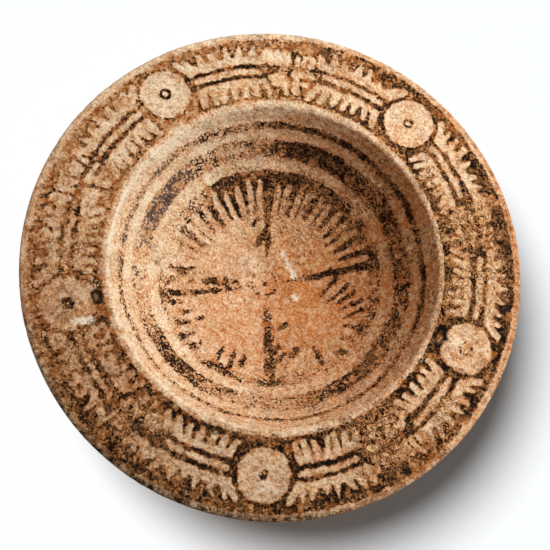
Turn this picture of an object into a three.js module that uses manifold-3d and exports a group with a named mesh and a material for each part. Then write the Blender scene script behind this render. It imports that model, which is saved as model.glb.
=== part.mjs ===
// Ledge-rim faience bowl. A thrown body stands on a luted foot ring, a cream slip coat covers its upper
// face, and dark paint lies on the slip: five winged discs with blossoms between them are left light in
// the painted ground of the flange, and the well has a line, a broad band and four palmettes.
// Millimetres, +Z up, with the foot standing on z = 0 and the bowl's axis on the Z axis.

import * as THREE from 'three';
import { mergeVertices } from 'three/addons/utils/BufferGeometryUtils.js';
import Module from 'manifold-3d';

const wasm = await Module();
wasm.setup();

// Thrown body
const rimRadius = 100;
const rimThickness = 6;
const edgeRound = 1.6;
const flangeWidth = 30.2;
const lipRound = 3;
const wellDepth = 37.5;
const wallThickness = 6.5;
const underFillet = 8;

// Foot ring, luted under the body
const footRadius = 37;
const footWidth = 7;
const footDraft = 1.2;
const footClearance = 3;

// Coats, each fired on to the one below
const slipThickness = 0.4;
const paintThickness = 0.3;
const bondGap = 0.05;

// Painted ground of the flange: discs set out by eye, about a fifth of a turn apart
const discAngles = [47.2, 122.4, 192, 265.5, 334.8];
const rimBorder = 1.7;
const groundMargin = 0.3;
const discOuterMargin = 3.6;
const discInnerMargin = 3.8;
const discOutline = 2.6;
const eyeRadius = 2.1;
const eyeStroke = 1;

// Wings: a light bar between two combs of feathers, fanned out at the tips
const barWidth = 3;
const wingLine = 1.3;
const combBase = 3;
const outerTipMargin = 2.4;
const innerTipMargin = 3.1;
const feathersPerComb = 7;
const featherTipShare = 0.5;
const nearFan = 4.2;
const farFan = 2.6;

// Blossoms between the wings, in half widths along and across the flange
const blossomHalfWidth = 12;
const lobe = { across: 4.2, out: 5.6, halfAlong: 3.5, halfAcross: 3.9 };
const petal = { across: 2.9, out: -5.4, halfAlong: 1.6, halfAcross: 4.4 };
const dash = { across: 7.2, out: -2.6, halfAlong: 2, halfAcross: 1 };

// Rings in the well, measured inward from the lip
const lipLineWidth = 1;
const wellLineInset = 6.3;
const wellLineWidth = 1.2;
const outerPaleWidth = 3.3;
const wellBandWidth = 6.4;
const innerPaleWidth = 4.2;

// Medallion on the floor: four palmettes between the arms of a cross
const armAngles = [8, 90, 186, 270];
const armRootWidth = 1.4;
const armTipWidth = 4;
const centreRadius = 4.6;
const centreStroke = 1.2;
const centreDotRadius = 1.4;
const medallionRing = 2.4;
const petalsPerPalmette = 12;
const petalTipRise = 1.1;
const petalGapWidth = 1.9;
const petalGapLength = 12;
const palmetteFocus = 18;

// Facets
const roundSegments = 44;
const arcSteps = 3;
const wellSteps = 4;
const lipSteps = 2;
const smallRoundSegments = 10;
const discSegments = 24;
const weldDistance = 1e-4;

// Worked out from the sizes above
const underRound = rimThickness - edgeRound;
const height = footClearance + wallThickness + wellDepth;
const edgeCentre = new THREE.Vector2(rimRadius - edgeRound, height - edgeRound);
const underEdgeCentre = new THREE.Vector2(rimRadius - underRound, edgeCentre.y);
const lipCentre = new THREE.Vector2(edgeCentre.x - flangeWidth, height - lipRound);
const wellSphere = (lipCentre.x ** 2 + wellDepth ** 2) / (2 * wellDepth) - lipRound;
const sphereCentreZ = height - wellDepth + wellSphere;
const lipEndAngle = Math.atan2(sphereCentreZ - lipCentre.y, -lipCentre.x);
const paintTop = bondGap + paintThickness;

const wellLineOuter = lipCentre.x - wellLineInset;
const wellLineInner = wellLineOuter - wellLineWidth;
const wellBandOuter = wellLineInner - outerPaleWidth;
const wellBandInner = wellBandOuter - wellBandWidth;
const medallionRadius = wellBandInner - innerPaleWidth;

const polar = (radius, angle) => new THREE.Vector2(radius * Math.cos(angle), radius * Math.sin(angle));
const radians = THREE.MathUtils.degToRad;

// Evenly spaced values from first to last
function spread(first, last, steps) {
  return Array.from({ length: steps + 1 }, (_, k) => THREE.MathUtils.lerp(first, last, k / steps));
}

// Points of an arc about a centre in the profile plane
function arc(centre, radius, fromAngle, toAngle) {
  return spread(fromAngle, toAngle, arcSteps).map((angle) => polar(radius, angle).add(centre));
}

// A point of the well, at a radius of its finished face, sunk into the clay by depth
function wellPoint(radius, depth) {
  const slope = Math.asin(radius / wellSphere);
  const reach = wellSphere + depth;
  return new THREE.Vector2(reach * Math.sin(slope), sphereCentreZ - reach * Math.cos(slope));
}

// Radii that the well's coats and painted rings share, so that their facets lie on each other
const wellStations = [
  0,
  ...spread(centreRadius, medallionRadius, wellSteps),
  wellBandInner,
  wellBandOuter,
  wellLineInner,
  wellLineOuter,
];

// Angles on the rounded lip, from the flange to the end of its painted line
const lipLineStations = spread(Math.PI / 2, Math.PI / 2 + lipLineWidth / lipRound, lipSteps);

// A point of the rounded lip, sunk into the clay by depth
const lipPoint = (angle, depth) => polar(lipRound - depth, angle).add(lipCentre);

// The upper face from the axis to the widest line of the rim's edge, sunk into the clay by depth
function upperFace(depth) {
  const lipStations = [...lipLineStations, lipEndAngle].reverse();
  return [
    ...wellStations.map((radius) => wellPoint(radius, depth)),
    ...lipStations.map((angle) => lipPoint(angle, depth)),
    ...arc(edgeCentre, edgeRound - depth, Math.PI / 2, 0),
  ];
}

// The underside from the widest line of the rim's edge to the axis
function underFace() {
  const outerSphere = wellSphere + wallThickness;
  const undersideZ = height - rimThickness;
  const filletZ = undersideZ - underFillet;
  const filletReach = outerSphere + underFillet;
  const filletX = Math.sqrt(filletReach ** 2 - (sphereCentreZ - filletZ) ** 2);
  const filletCentre = new THREE.Vector2(filletX, filletZ);
  const filletEnd = Math.atan2(sphereCentreZ - filletZ, -filletX);
  const wallEnd = filletX * outerSphere / filletReach;
  const wallMiddle = (wallEnd + footRadius) / 2;
  const wall = [wallMiddle, footRadius, footRadius - footWidth, 0];
  return [
    ...arc(underEdgeCentre, underRound, 0, -Math.PI / 2),
    ...arc(filletCentre, underFillet, Math.PI / 2, filletEnd),
    ...wall.map((radius) => outerWallPoint(radius)),
  ];
}

// A point at a radius, on the outer wall or a little below it
function outerWallPoint(radius, drop = 0) {
  const rise = Math.sqrt((wellSphere + wallThickness) ** 2 - radius ** 2);
  return new THREE.Vector2(radius, sphereCentreZ - rise - drop);
}

// Turns a profile of radius and height round the Z axis, with its faces pointing out
function revolve(profile, closed) {
  const outline = THREE.ShapeUtils.area(profile) > 0 ? profile : [...profile].reverse();
  const points = closed ? [...outline, outline[0]] : outline;
  return new THREE.LatheGeometry(points, roundSegments).rotateX(Math.PI / 2);
}

// A ring of paint between two runs of profile points: its seat and its top
function paintRing(seat, top) {
  return revolve([...seat, ...top.reverse()], true);
}

// A flat plate of an outline with cut-outs, standing on a height
function plate(outline, cutouts, baseZ, thickness) {
  const shape = new THREE.Shape(outline);
  shape.holes = cutouts.map((points) => new THREE.Path(points));
  const geometry = new THREE.ExtrudeGeometry(shape, { depth: thickness, bevelEnabled: false });
  return geometry.translate(0, 0, baseZ);
}

function toSolid(geometry) {
  const bare = geometry.clone();
  bare.deleteAttribute('normal');
  bare.deleteAttribute('uv');
  const welded = mergeVertices(bare, weldDistance);
  const corners = welded.index.array;
  const triangles = [];
  for (let k = 0; k < corners.length; k += 3) {
    const [a, b, c] = corners.slice(k, k + 3);
    if (a !== b && b !== c && c !== a) triangles.push(a, b, c);
  }
  return new wasm.Manifold(new wasm.Mesh({
    numProp: 3,
    vertProperties: new Float32Array(welded.attributes.position.array),
    triVerts: new Uint32Array(triangles),
  }));
}

function toGeometry(solid) {
  const mesh = solid.getMesh();
  const geometry = new THREE.BufferGeometry();
  geometry.setAttribute('position', new THREE.BufferAttribute(mesh.vertProperties, 3));
  geometry.setIndex(new THREE.BufferAttribute(mesh.triVerts, 1));
  geometry.computeVertexNormals();
  return geometry;
}

const circle = (centre, radius, segments) =>
  Array.from({ length: segments }, (_, k) => polar(radius, 2 * Math.PI * k / segments).add(centre));

const axis = new THREE.Vector2(0, 0);
const groundOuter = edgeCentre.x - rimBorder;
const groundInner = lipCentre.x + groundMargin;
const discRadius = (groundOuter - groundInner - discOuterMargin - discInnerMargin) / 2;
const wingRadius = groundInner + discInnerMargin + discRadius;

// A comb of feathers: a curved base, and pointed feathers that fan out towards the border
function comb(near, far, baseRadius, rootRadius, tipRadius) {
  const side = Math.sign(far - near);
  const nearTip = near - side * nearFan / tipRadius;
  const farTip = far + side * farFan / tipRadius;
  const points = spread(near, far, arcSteps).map((angle) => polar(baseRadius, angle));
  for (let k = feathersPerComb; k > 0; k -= 1) {
    const at = (share, from, to) => THREE.MathUtils.lerp(from, to, (k - share) / feathersPerComb);
    points.push(polar(rootRadius, at(0, near, far)));
    points.push(polar(tipRadius, at((1 - featherTipShare) / 2, nearTip, farTip)));
    points.push(polar(tipRadius, at((1 + featherTipShare) / 2, nearTip, farTip)));
  }
  points.push(polar(rootRadius, near));
  return points;
}

// One wing from a disc towards a blossom: the light bar and a comb on each side of it
function wing(near, far) {
  const half = barWidth / 2;
  const outerBase = wingRadius + half + wingLine;
  const innerBase = wingRadius - half - wingLine;
  const bar = [
    ...spread(near, far, arcSteps).map((angle) => polar(wingRadius + half, angle)),
    ...spread(far, near, arcSteps).map((angle) => polar(wingRadius - half, angle)),
  ];
  return [
    bar,
    comb(near, far, outerBase, outerBase + combBase, groundOuter - outerTipMargin),
    comb(near, far, innerBase, innerBase - combBase, groundInner + innerTipMargin),
  ];
}

// A blossom's lobes, petals and dashes, mirrored about its middle
function blossom(angle) {
  const parts = [];
  for (const side of [-1, 1]) {
    for (const leaf of [lobe, petal, dash]) {
      const centre = new THREE.Vector2(wingRadius + leaf.out, side * leaf.across);
      const outline = circle(axis, 1, smallRoundSegments).map((point) =>
        new THREE.Vector2(point.x * leaf.halfAcross, point.y * leaf.halfAlong).add(centre));
      parts.push(outline.map((point) => point.rotateAround(axis, angle)));
    }
  }
  return parts;
}

// The flange's painted ground, with discs, wings and blossoms left light in it
function rimGround() {
  const discHalf = Math.asin((discRadius + discOutline) / wingRadius);
  const blossomHalf = blossomHalfWidth / wingRadius;
  const cutouts = [circle(axis, groundInner, roundSegments)];
  discAngles.forEach((degrees, k) => {
    const last = k === discAngles.length - 1;
    const here = radians(degrees);
    const next = radians(last ? discAngles[0] + 360 : discAngles[k + 1]);
    const middle = (here + next) / 2;
    cutouts.push(circle(polar(wingRadius, here), discRadius, discSegments));
    cutouts.push(...wing(here + discHalf, middle - blossomHalf));
    cutouts.push(...blossom(middle));
    cutouts.push(...wing(next - discHalf, middle + blossomHalf));
  });
  const border = circle(axis, groundOuter, roundSegments);
  return plate(border, cutouts, height + bondGap, paintThickness);
}

// The small ring painted in the middle of a disc
function discEye(degrees) {
  const centre = polar(wingRadius, radians(degrees));
  const ring = circle(centre, eyeRadius, smallRoundSegments);
  const hole = circle(centre, eyeRadius - eyeStroke, smallRoundSegments);
  return plate(ring, [hole], height + bondGap, paintThickness);
}

// A painted ring in the well between two stations
function wellRing(inner, outer) {
  const stations = wellStations.filter((radius) => radius >= inner && radius <= outer);
  const seat = stations.map((radius) => wellPoint(radius, -bondGap));
  const top = stations.map((radius) => wellPoint(radius, -paintTop));
  return paintRing(seat, top);
}

// The dark line that turns over the rounded lip
function lipLine() {
  const seat = lipLineStations.map((angle) => lipPoint(angle, -bondGap));
  const top = lipLineStations.map((angle) => lipPoint(angle, -paintTop));
  return paintRing(seat, top);
}

// Half the angle that a cross arm, widening outward, takes up at a radius
function armHalfAngle(radius) {
  const share = (radius - centreRadius) / (medallionRadius - centreRadius);
  const width = THREE.MathUtils.lerp(armRootWidth, armTipWidth, share);
  return Math.asin(width / 2 / radius);
}

// A palmette between two arms: straight sides along the arms, and petals spread round a focus
function palmette(fromDegrees, toDegrees) {
  const from = radians(fromDegrees);
  const to = radians(toDegrees);
  const middle = (from + to) / 2;
  const root = centreRadius + centreStroke;
  const tip = medallionRadius - medallionRing;
  const shoulder = tip - petalTipRise;
  const focus = polar(palmetteFocus, middle);
  const first = from + armHalfAngle(shoulder);
  const last = to - armHalfAngle(shoulder);
  const petalAngle = (last - first) / petalsPerPalmette;
  const gapHalf = petalGapWidth / 2 / shoulder;
  const points = [polar(root, from + armHalfAngle(root)), polar(shoulder, first)];
  for (let k = 0; k < petalsPerPalmette; k += 1) {
    const gap = first + (k + 1) * petalAngle;
    points.push(polar(tip, gap - petalAngle / 2));
    if (k === petalsPerPalmette - 1) break;
    const mouth = polar(shoulder, gap);
    const inward = focus.clone().sub(mouth).setLength(petalGapLength);
    points.push(polar(shoulder, gap - gapHalf), mouth.add(inward), polar(shoulder, gap + gapHalf));
  }
  points.push(polar(shoulder, last), polar(root, to - armHalfAngle(root)), polar(root, middle));
  return points;
}

// The medallion's dark ground: a dish of paint with the palmettes cut out of it
function medallionGround() {
  let ground = toSolid(wellRing(centreRadius, medallionRadius));
  armAngles.forEach((degrees, k) => {
    const last = k === armAngles.length - 1;
    const next = last ? armAngles[0] + 360 : armAngles[k + 1];
    ground = ground.subtract(toSolid(plate(palmette(degrees, next), [], 0, height)));
  });
  return toGeometry(ground);
}

// The dot in the middle of the floor, seated on the slip's innermost facets
function centreDot() {
  const dotPoint = (depth) =>
    wellPoint(0, depth).lerp(wellPoint(centreRadius, depth), centreDotRadius / centreRadius);
  return revolve([wellPoint(0, -bondGap), dotPoint(-bondGap), dotPoint(-paintTop), wellPoint(0, -paintTop)]);
}

// The slip coat: a thin shell over the whole upper face, down to the widest line of the rim's edge
function slipCoat() {
  return revolve([...upperFace(0), ...upperFace(slipThickness).reverse()]);
}

// The thrown body, rebated at the rim's edge where the slip ends
function thrownBody() {
  const top = upperFace(slipThickness + bondGap);
  const under = underFace();
  under[0].y -= bondGap;
  top[top.length - 1].y -= bondGap;
  return revolve([...top, ...under]);
}

// The foot ring, drawn in towards the table, seated on the outer wall
function footRing() {
  const inner = footRadius - footWidth;
  const seat = [inner, footRadius].map((radius) => outerWallPoint(radius, bondGap));
  const sole = [new THREE.Vector2(footRadius - footDraft, 0), new THREE.Vector2(inner + footDraft, 0)];
  return revolve([...seat, ...sole], true);
}

const biscuit = new THREE.MeshStandardMaterial({ color: 0xb9804c, roughness: 0.9, metalness: 0 });
const slip = new THREE.MeshStandardMaterial({ color: 0xd8b183, roughness: 0.8, metalness: 0 });
const pigment = new THREE.MeshStandardMaterial({ color: 0x3b2a1d, roughness: 0.75, metalness: 0 });

const bowl = new THREE.Group();

function addPiece(name, geometry, material) {
  const mesh = new THREE.Mesh(geometry, material);
  mesh.name = name;
  bowl.add(mesh);
}

addPiece('thrown_body', thrownBody(), biscuit);
addPiece('foot_ring', footRing(), biscuit);
addPiece('slip_coat', slipCoat(), slip);
addPiece('rim_ground', rimGround(), pigment);
discAngles.forEach((degrees, k) => addPiece(`disc_eye_${k + 1}`, discEye(degrees), pigment));
addPiece('lip_line', lipLine(), pigment);
addPiece('well_line', wellRing(wellLineInner, wellLineOuter), pigment);
addPiece('well_band', wellRing(wellBandInner, wellBandOuter), pigment);
addPiece('medallion_ground', medallionGround(), pigment);
addPiece('centre_dot', centreDot(), pigment);

export default bowl;
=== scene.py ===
"""Looks of a worn ledge-rim faience bowl: cream slip, flaked dark paint and bare buff clay.

Sizes are millimetres until a mesh is written. The bowl's axis is Z, X runs to the right of the photograph
and Y up it, and angles are degrees anticlockwise from X.
"""

from __future__ import annotations

import logging
import math
from dataclasses import dataclass, field, replace
from enum import Enum
from functools import cached_property
from typing import Callable, Sequence, Union

import bpy
import numpy as np
from mathutils import Matrix, Vector

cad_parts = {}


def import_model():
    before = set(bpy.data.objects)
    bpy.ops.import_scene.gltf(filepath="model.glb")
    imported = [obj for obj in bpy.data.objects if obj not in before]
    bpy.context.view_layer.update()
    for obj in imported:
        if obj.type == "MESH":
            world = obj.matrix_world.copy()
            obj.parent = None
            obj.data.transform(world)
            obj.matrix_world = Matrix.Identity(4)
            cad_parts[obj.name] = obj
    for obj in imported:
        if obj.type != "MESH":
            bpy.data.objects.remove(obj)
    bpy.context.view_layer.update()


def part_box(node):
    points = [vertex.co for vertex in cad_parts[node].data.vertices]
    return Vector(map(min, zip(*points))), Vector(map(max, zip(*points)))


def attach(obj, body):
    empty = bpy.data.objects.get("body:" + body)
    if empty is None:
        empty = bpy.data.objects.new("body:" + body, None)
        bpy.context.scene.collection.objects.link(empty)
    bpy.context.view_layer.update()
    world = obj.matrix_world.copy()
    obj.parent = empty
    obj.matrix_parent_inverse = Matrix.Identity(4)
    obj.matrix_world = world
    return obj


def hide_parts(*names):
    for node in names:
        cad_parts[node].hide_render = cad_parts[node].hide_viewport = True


MM = 0.001
SHARP_ANGLE = math.radians(50)
ROOT_BODY = "root"
WORN = "worn_"
LOG = logging.getLogger("bowl")

Array = np.ndarray
Turn = Sequence[tuple[float, float]]
Socket = bpy.types.NodeSocket
Feed = Union[Socket, float, tuple]


class Slot(Enum):
    """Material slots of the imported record."""

    BISCUIT = "biscuit"
    SLIP = "slip"
    PIGMENT = "pigment"


# Small helpers


def linear(hex_colour: str) -> tuple[float, float, float, float]:
    """Turns an sRGB hex colour into linear light.

    Args:
        hex_colour: six hex digits, with or without a leading hash.

    Returns:
        Red, green, blue and a full alpha.
    """
    digits = hex_colour.lstrip("#")
    shares = [int(digits[i : i + 2], 16) / 255 for i in (0, 2, 4)]
    light = [s / 12.92 if s <= 0.04045 else ((s + 0.055) / 1.055) ** 2.4 for s in shares]
    return (light[0], light[1], light[2], 1.0)


def scale_for(size_mm: float) -> float:
    """Texture scale that gives features of about the given size in millimetres."""
    return 1 / (size_mm * MM)


def feed_inputs(tree: bpy.types.NodeTree, node: bpy.types.Node, feeds: dict[str | int, Feed]) -> None:
    """Feeds a node's inputs, by name or number, with values or with other nodes' outputs."""
    for name, feed in feeds.items():
        if isinstance(feed, Socket):
            tree.links.new(feed, node.inputs[name])
        else:
            node.inputs[name].default_value = feed


def add_node(
    tree: bpy.types.NodeTree, kind: str, feeds: dict | None = None, **settings: object
) -> bpy.types.Node:
    """Adds a shader node, sets its options and feeds its inputs.

    Args:
        tree: the node tree that takes the node.
        kind: Blender's type name of the node.
        feeds: input name or number to a value or to another node's output.
        **settings: options of the node.

    Returns:
        The new node.
    """
    node = tree.nodes.new(kind)
    for option, value in settings.items():
        setattr(node, option, value)
    feed_inputs(tree, node, feeds or {})
    return node


def ease(values: Array, start: float, end: float) -> Array:
    """Smooth step from 0 at start to 1 at end."""
    share = np.clip((values - start) / (end - start), 0, 1)
    return share * share * (3 - 2 * share)


def around(theta: Array, turn: Turn) -> Array:
    """Reads values set at angles round the bowl, blended between them.

    Args:
        theta: angles in radians.
        turn: pairs of an angle in degrees and a value.

    Returns:
        One value for each angle.
    """
    angles = [angle for angle, _ in turn]
    values = [value for _, value in turn]
    return np.interp(np.degrees(theta), angles, values, period=360)


def polar(radius: float, angle: float) -> Array:
    """Plan point at a radius and an angle in degrees."""
    return radius * np.array([math.cos(math.radians(angle)), math.sin(math.radians(angle))])


# Noise


class ClayNoise:
    """Seeded noise in space, for relief, wear and a hand-drawn wobble."""

    def __init__(self, seed: int) -> None:
        """Draws the tables that the noise reads."""
        rng = np.random.default_rng(seed)
        self._order = rng.permutation(256)
        lean = rng.normal(size=(256, 3))
        self._lean = lean / np.linalg.norm(lean, axis=1, keepdims=True)
        self._spot = rng.uniform(size=(256, 3))
        self._share = rng.uniform(size=256)

    def _index(self, cell: Array) -> Array:
        """Table row of each lattice cell."""
        key = cell & 255
        first = self._order[key[:, 0]]
        second = self._order[(first + key[:, 1]) & 255]
        return self._order[(second + key[:, 2]) & 255]

    def smooth(self, points: Array, size: float) -> Array:
        """One layer of gradient noise.

        Args:
            points: places in millimetres, one row each.
            size: width of a lump in millimetres.

        Returns:
            Values of about -1 to 1.
        """
        scaled = points / size
        cell = np.floor(scaled).astype(np.int64)
        part = scaled - cell
        fade = part**3 * (part * (part * 6 - 15) + 10)
        total = np.zeros(len(points))
        for corner in np.ndindex(2, 2, 2):
            step = np.array(corner)
            weight = np.prod(np.where(step, fade, 1 - fade), axis=1)
            total += weight * np.einsum("ij,ij->i", part - step, self._lean[self._index(cell + step)])
        return 1.6 * total

    def layered(self, points: Array, size: float, layers: int) -> Array:
        """Gradient noise with finer layers added, each half as strong and half as wide."""
        return sum(self.smooth(points + 31.7 * k, size / 2**k) / 2**k for k in range(layers))

    def pits(self, points: Array, spacing: float, small: float, large: float) -> Array:
        """Round pits, one to a lattice cell.

        Args:
            points: places in millimetres, one row each.
            spacing: width of a cell.
            small: least radius of a pit.
            large: greatest radius of a pit.

        Returns:
            Share of a pit's depth, 0 outside it and 1 at its middle.
        """
        cell = np.floor(points / spacing).astype(np.int64)
        depth = np.zeros(len(points))
        for offset in np.ndindex(3, 3, 3):
            near = cell + np.array(offset) - 1
            index = self._index(near)
            middle = (near + self._spot[index]) * spacing
            radius = small + (large - small) * self._share[index] ** 2
            away = np.linalg.norm(points - middle, axis=1) / radius
            depth = np.maximum(depth, np.clip(1 - away**2, 0, 1))
        return depth


# Form of the bowl


@dataclass(frozen=True)
class Patch:
    """Grid of places on the upper face, rows outwards and columns round the axis."""

    rows: int
    columns: int
    theta: Array
    run: Array
    points: Array
    normals: Array

    @property
    def plan(self) -> Array:
        """Places seen from above."""
        return self.points[:, :2]

    @property
    def radius(self) -> Array:
        """Distance from the axis."""
        return np.hypot(self.points[:, 0], self.points[:, 1])

    def pick(self, chosen: Array) -> Patch:
        """Some of the places, without faces between them."""
        return Patch(0, 0, self.theta[chosen], self.run[chosen], self.points[chosen], self.normals[chosen])

    def quads(self) -> Array:
        """Four-cornered faces of the closed grid."""
        index = np.arange(self.rows * self.columns).reshape(self.rows, self.columns)
        ahead = np.roll(index, -1, axis=1)
        corners = [index[:-1], index[1:], ahead[1:], ahead[:-1]]
        return np.stack(corners, axis=-1).reshape(-1, 4)


@dataclass(frozen=True)
class BowlForm:
    """Turned form of the bowl. A place on the upper face is given by its run, the way from the middle."""

    rim_radius: float
    height: float
    rim_thickness: float = 6.0
    edge_round: float = 1.6
    flange_width: float = 30.2
    lip_round: float = 3.0
    well_depth: float = 37.5
    wall: float = 6.5
    under_fillet: float = 8.0

    @classmethod
    def from_frame(cls) -> BowlForm:
        """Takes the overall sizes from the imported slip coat."""
        _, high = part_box("slip_coat")
        return cls(rim_radius=high.x / MM, height=high.z / MM)

    @property
    def under_round(self) -> float:
        """Radius of the rim's edge below its widest line."""
        return self.rim_thickness - self.edge_round

    @property
    def flange_outer(self) -> float:
        """Radius where the flat flange turns into its edge."""
        return self.rim_radius - self.edge_round

    @property
    def flange_inner(self) -> float:
        """Radius where the flat flange turns into the lip."""
        return self.flange_outer - self.flange_width

    @property
    def well_sphere(self) -> float:
        """Radius of the round well, which runs smoothly into the lip."""
        drop = self.well_depth - self.lip_round
        return (self.flange_inner**2 + drop**2 - self.lip_round**2) / (2 * (drop + self.lip_round))

    @property
    def sphere_height(self) -> float:
        """Height of the well's centre of curvature."""
        return self.height - self.well_depth + self.well_sphere

    @property
    def well_angle(self) -> float:
        """Half angle of the well, where the lip begins."""
        return math.asin(self.flange_inner / (self.well_sphere + self.lip_round))

    @property
    def lip_run(self) -> float:
        """Run at the start of the lip."""
        return self.well_sphere * self.well_angle

    @property
    def flange_run(self) -> float:
        """Run at the start of the flat flange."""
        return self.lip_run + self.lip_round * self.well_angle

    @property
    def edge_run(self) -> float:
        """Run at the start of the rim's edge."""
        return self.flange_run + self.flange_width

    @property
    def widest_run(self) -> float:
        """Run at the rim's widest line."""
        return self.edge_run + self.edge_round * math.pi / 2

    def run_at(self, radius: float) -> float:
        """Run of a plan radius in the well or on the flange."""
        if radius >= self.flange_inner:
            return self.flange_run + radius - self.flange_inner
        return self.well_sphere * math.asin(radius / self.well_sphere)

    def section(self, run: Array) -> tuple[Array, Array, Array, Array]:
        """Section of the upper face.

        Args:
            run: way along the face from the middle.

        Returns:
            Radius, height, and the outward and upward parts of the normal.
        """
        in_well = run < self.lip_run
        on_lip = (run >= self.lip_run) & (run < self.flange_run)
        on_flange = (run >= self.flange_run) & (run < self.edge_run)
        swing = run / self.well_sphere
        lip_turn = math.pi / 2 + self.well_angle - (run - self.lip_run) / self.lip_round
        below = run >= self.widest_run
        edge_turn = math.pi / 2 - (run - self.edge_run) / self.edge_round
        edge_turn = np.where(below, (self.widest_run - run) / self.under_round, edge_turn)
        turn = np.where(on_lip, lip_turn, edge_turn)
        out = np.where(in_well, -np.sin(swing), np.where(on_flange, 0, np.cos(turn)))
        up = np.where(in_well, np.cos(swing), np.where(on_flange, 1, np.sin(turn)))
        bend = np.where(on_lip, self.lip_round, np.where(below, self.under_round, self.edge_round))
        base = np.where(on_lip, self.flange_inner, self.rim_radius - bend)
        middle = self.height - np.where(on_lip, self.lip_round, self.edge_round)
        radius = np.where(in_well, self.well_sphere * np.sin(swing), base + bend * out)
        radius = np.where(on_flange, self.flange_inner + run - self.flange_run, radius)
        level = np.where(in_well, self.sphere_height - self.well_sphere * up, middle + bend * up)
        level = np.where(on_flange, self.height, level)
        return radius, level, out, up

    def patch(self, start: float, end: float, row_step: float, column_step: float) -> Patch:
        """Grid of places between two runs.

        Args:
            start: run of the first row.
            end: run of the last row.
            row_step: way between rows.
            column_step: way between columns on the widest row.

        Returns:
            The grid.
        """
        rows = max(3, round((end - start) / row_step) + 1)
        runs = np.linspace(start, end, rows)
        widest = self.section(runs)[0].max()
        columns = int(2 * math.pi * widest / column_step)
        turn = np.arange(columns) * 2 * math.pi / columns
        run, theta = (grid.ravel() for grid in np.meshgrid(runs, turn, indexing="ij"))
        radius, level, out, up = self.section(run)
        c, s = np.cos(theta), np.sin(theta)
        points = np.stack([radius * c, radius * s, level], axis=1)
        normals = np.stack([out * c, out * s, up], axis=1)
        return Patch(rows, columns, theta, run, points, normals)

    def under_section(self, step: float) -> tuple[Array, Array]:
        """Section of the underside from the rim's edge to the middle.

        Args:
            step: way between points.

        Returns:
            Radii and heights.
        """
        outer = self.well_sphere + self.wall
        level = self.height - self.rim_thickness
        centre_level = level - self.under_fillet
        reach = outer + self.under_fillet
        drop = self.sphere_height - centre_level
        fillet_radius = math.sqrt(reach**2 - drop**2)
        tilt = math.acos(drop / reach)
        flat = np.arange(self.rim_radius - self.under_round, fillet_radius, -step)
        turn = np.arange(0, tilt, step / self.under_fillet)
        swing = np.arange(tilt, 0, -step / outer)
        radii = [flat, fillet_radius - self.under_fillet * np.sin(turn), outer * np.sin(swing)]
        levels = [
            np.full(len(flat), level),
            centre_level + self.under_fillet * np.cos(turn),
            self.sphere_height - outer * np.cos(swing),
        ]
        return np.concatenate(radii), np.concatenate(levels)


# Meshes


def write_mesh(
    name: str, points: Array, faces: Sequence[Array], layers: dict[str, Array]
) -> bpy.types.Object:
    """Makes a smooth mesh object with sharp corners kept.

    Args:
        name: name of the piece.
        points: places in millimetres.
        faces: arrays of faces, all of one array with as many corners.
        layers: values for each point, by attribute name.

    Returns:
        The object, in the scene.
    """
    mesh = bpy.data.meshes.new(name)
    mesh.vertices.add(len(points))
    mesh.vertices.foreach_set("co", (points * MM).astype(np.float32).ravel())
    corners = np.concatenate([group.ravel() for group in faces]).astype(np.int32)
    counts = np.concatenate([np.full(len(group), group.shape[1]) for group in faces])
    starts = np.concatenate([[0], np.cumsum(counts)[:-1]]).astype(np.int32)
    mesh.loops.add(len(corners))
    mesh.loops.foreach_set("vertex_index", corners)
    mesh.polygons.add(len(counts))
    mesh.polygons.foreach_set("loop_start", starts)
    mesh.update(calc_edges=True)
    mesh.validate()
    for layer, values in layers.items():
        store = mesh.attributes.new(layer, "FLOAT", "POINT")
        store.data.foreach_set("value", values.astype(np.float32))
    mesh.shade_smooth()
    mesh.set_sharp_from_angle(angle=SHARP_ANGLE)
    piece = bpy.data.objects.new(name, mesh)
    bpy.context.scene.collection.objects.link(piece)
    return piece


def cut_faces(quads: Array, cover: Array) -> tuple[Array, Array, Array]:
    """Cuts a grid along the line where a field is zero.

    Args:
        quads: four-cornered faces.
        cover: field at each point, above zero where the faces stay.

    Returns:
        Triangles, pairs of points that the new points lie between, and each new point's share of the way.
    """
    triangles = np.concatenate([quads[:, [0, 1, 2]], quads[:, [0, 2, 3]]])
    inside = cover[triangles] > 0
    count = inside.sum(axis=1)

    def odd_first(rows: Array, odd: Array) -> Array:
        """Turns each triangle so that its odd corner comes first."""
        order = (np.argmax(odd, axis=1)[:, None] + np.arange(3)) % 3
        return np.take_along_axis(rows, order, axis=1)

    tips = odd_first(triangles[count == 1], inside[count == 1])
    stumps = odd_first(triangles[count == 2], ~inside[count == 2])
    edges = np.concatenate([tips[:, [0, 1]], tips[:, [0, 2]], stumps[:, [1, 0]], stumps[:, [2, 0]]])
    keys, place = np.unique(edges[:, 0] * len(cover) + edges[:, 1], return_inverse=True)
    pairs = np.stack([keys // len(cover), keys % len(cover)], axis=1)
    share = cover[pairs[:, 0]] / (cover[pairs[:, 0]] - cover[pairs[:, 1]])
    splits = [len(tips), 2 * len(tips), 2 * len(tips) + len(stumps)]
    near, far, first, last = np.split(len(cover) + place, splits)
    kept = [
        triangles[count == 3],
        np.stack([tips[:, 0], near, far], axis=1),
        np.stack([first, stumps[:, 1], stumps[:, 2]], axis=1),
        np.stack([first, stumps[:, 2], last], axis=1),
    ]
    return np.concatenate(kept), pairs, share


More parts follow.
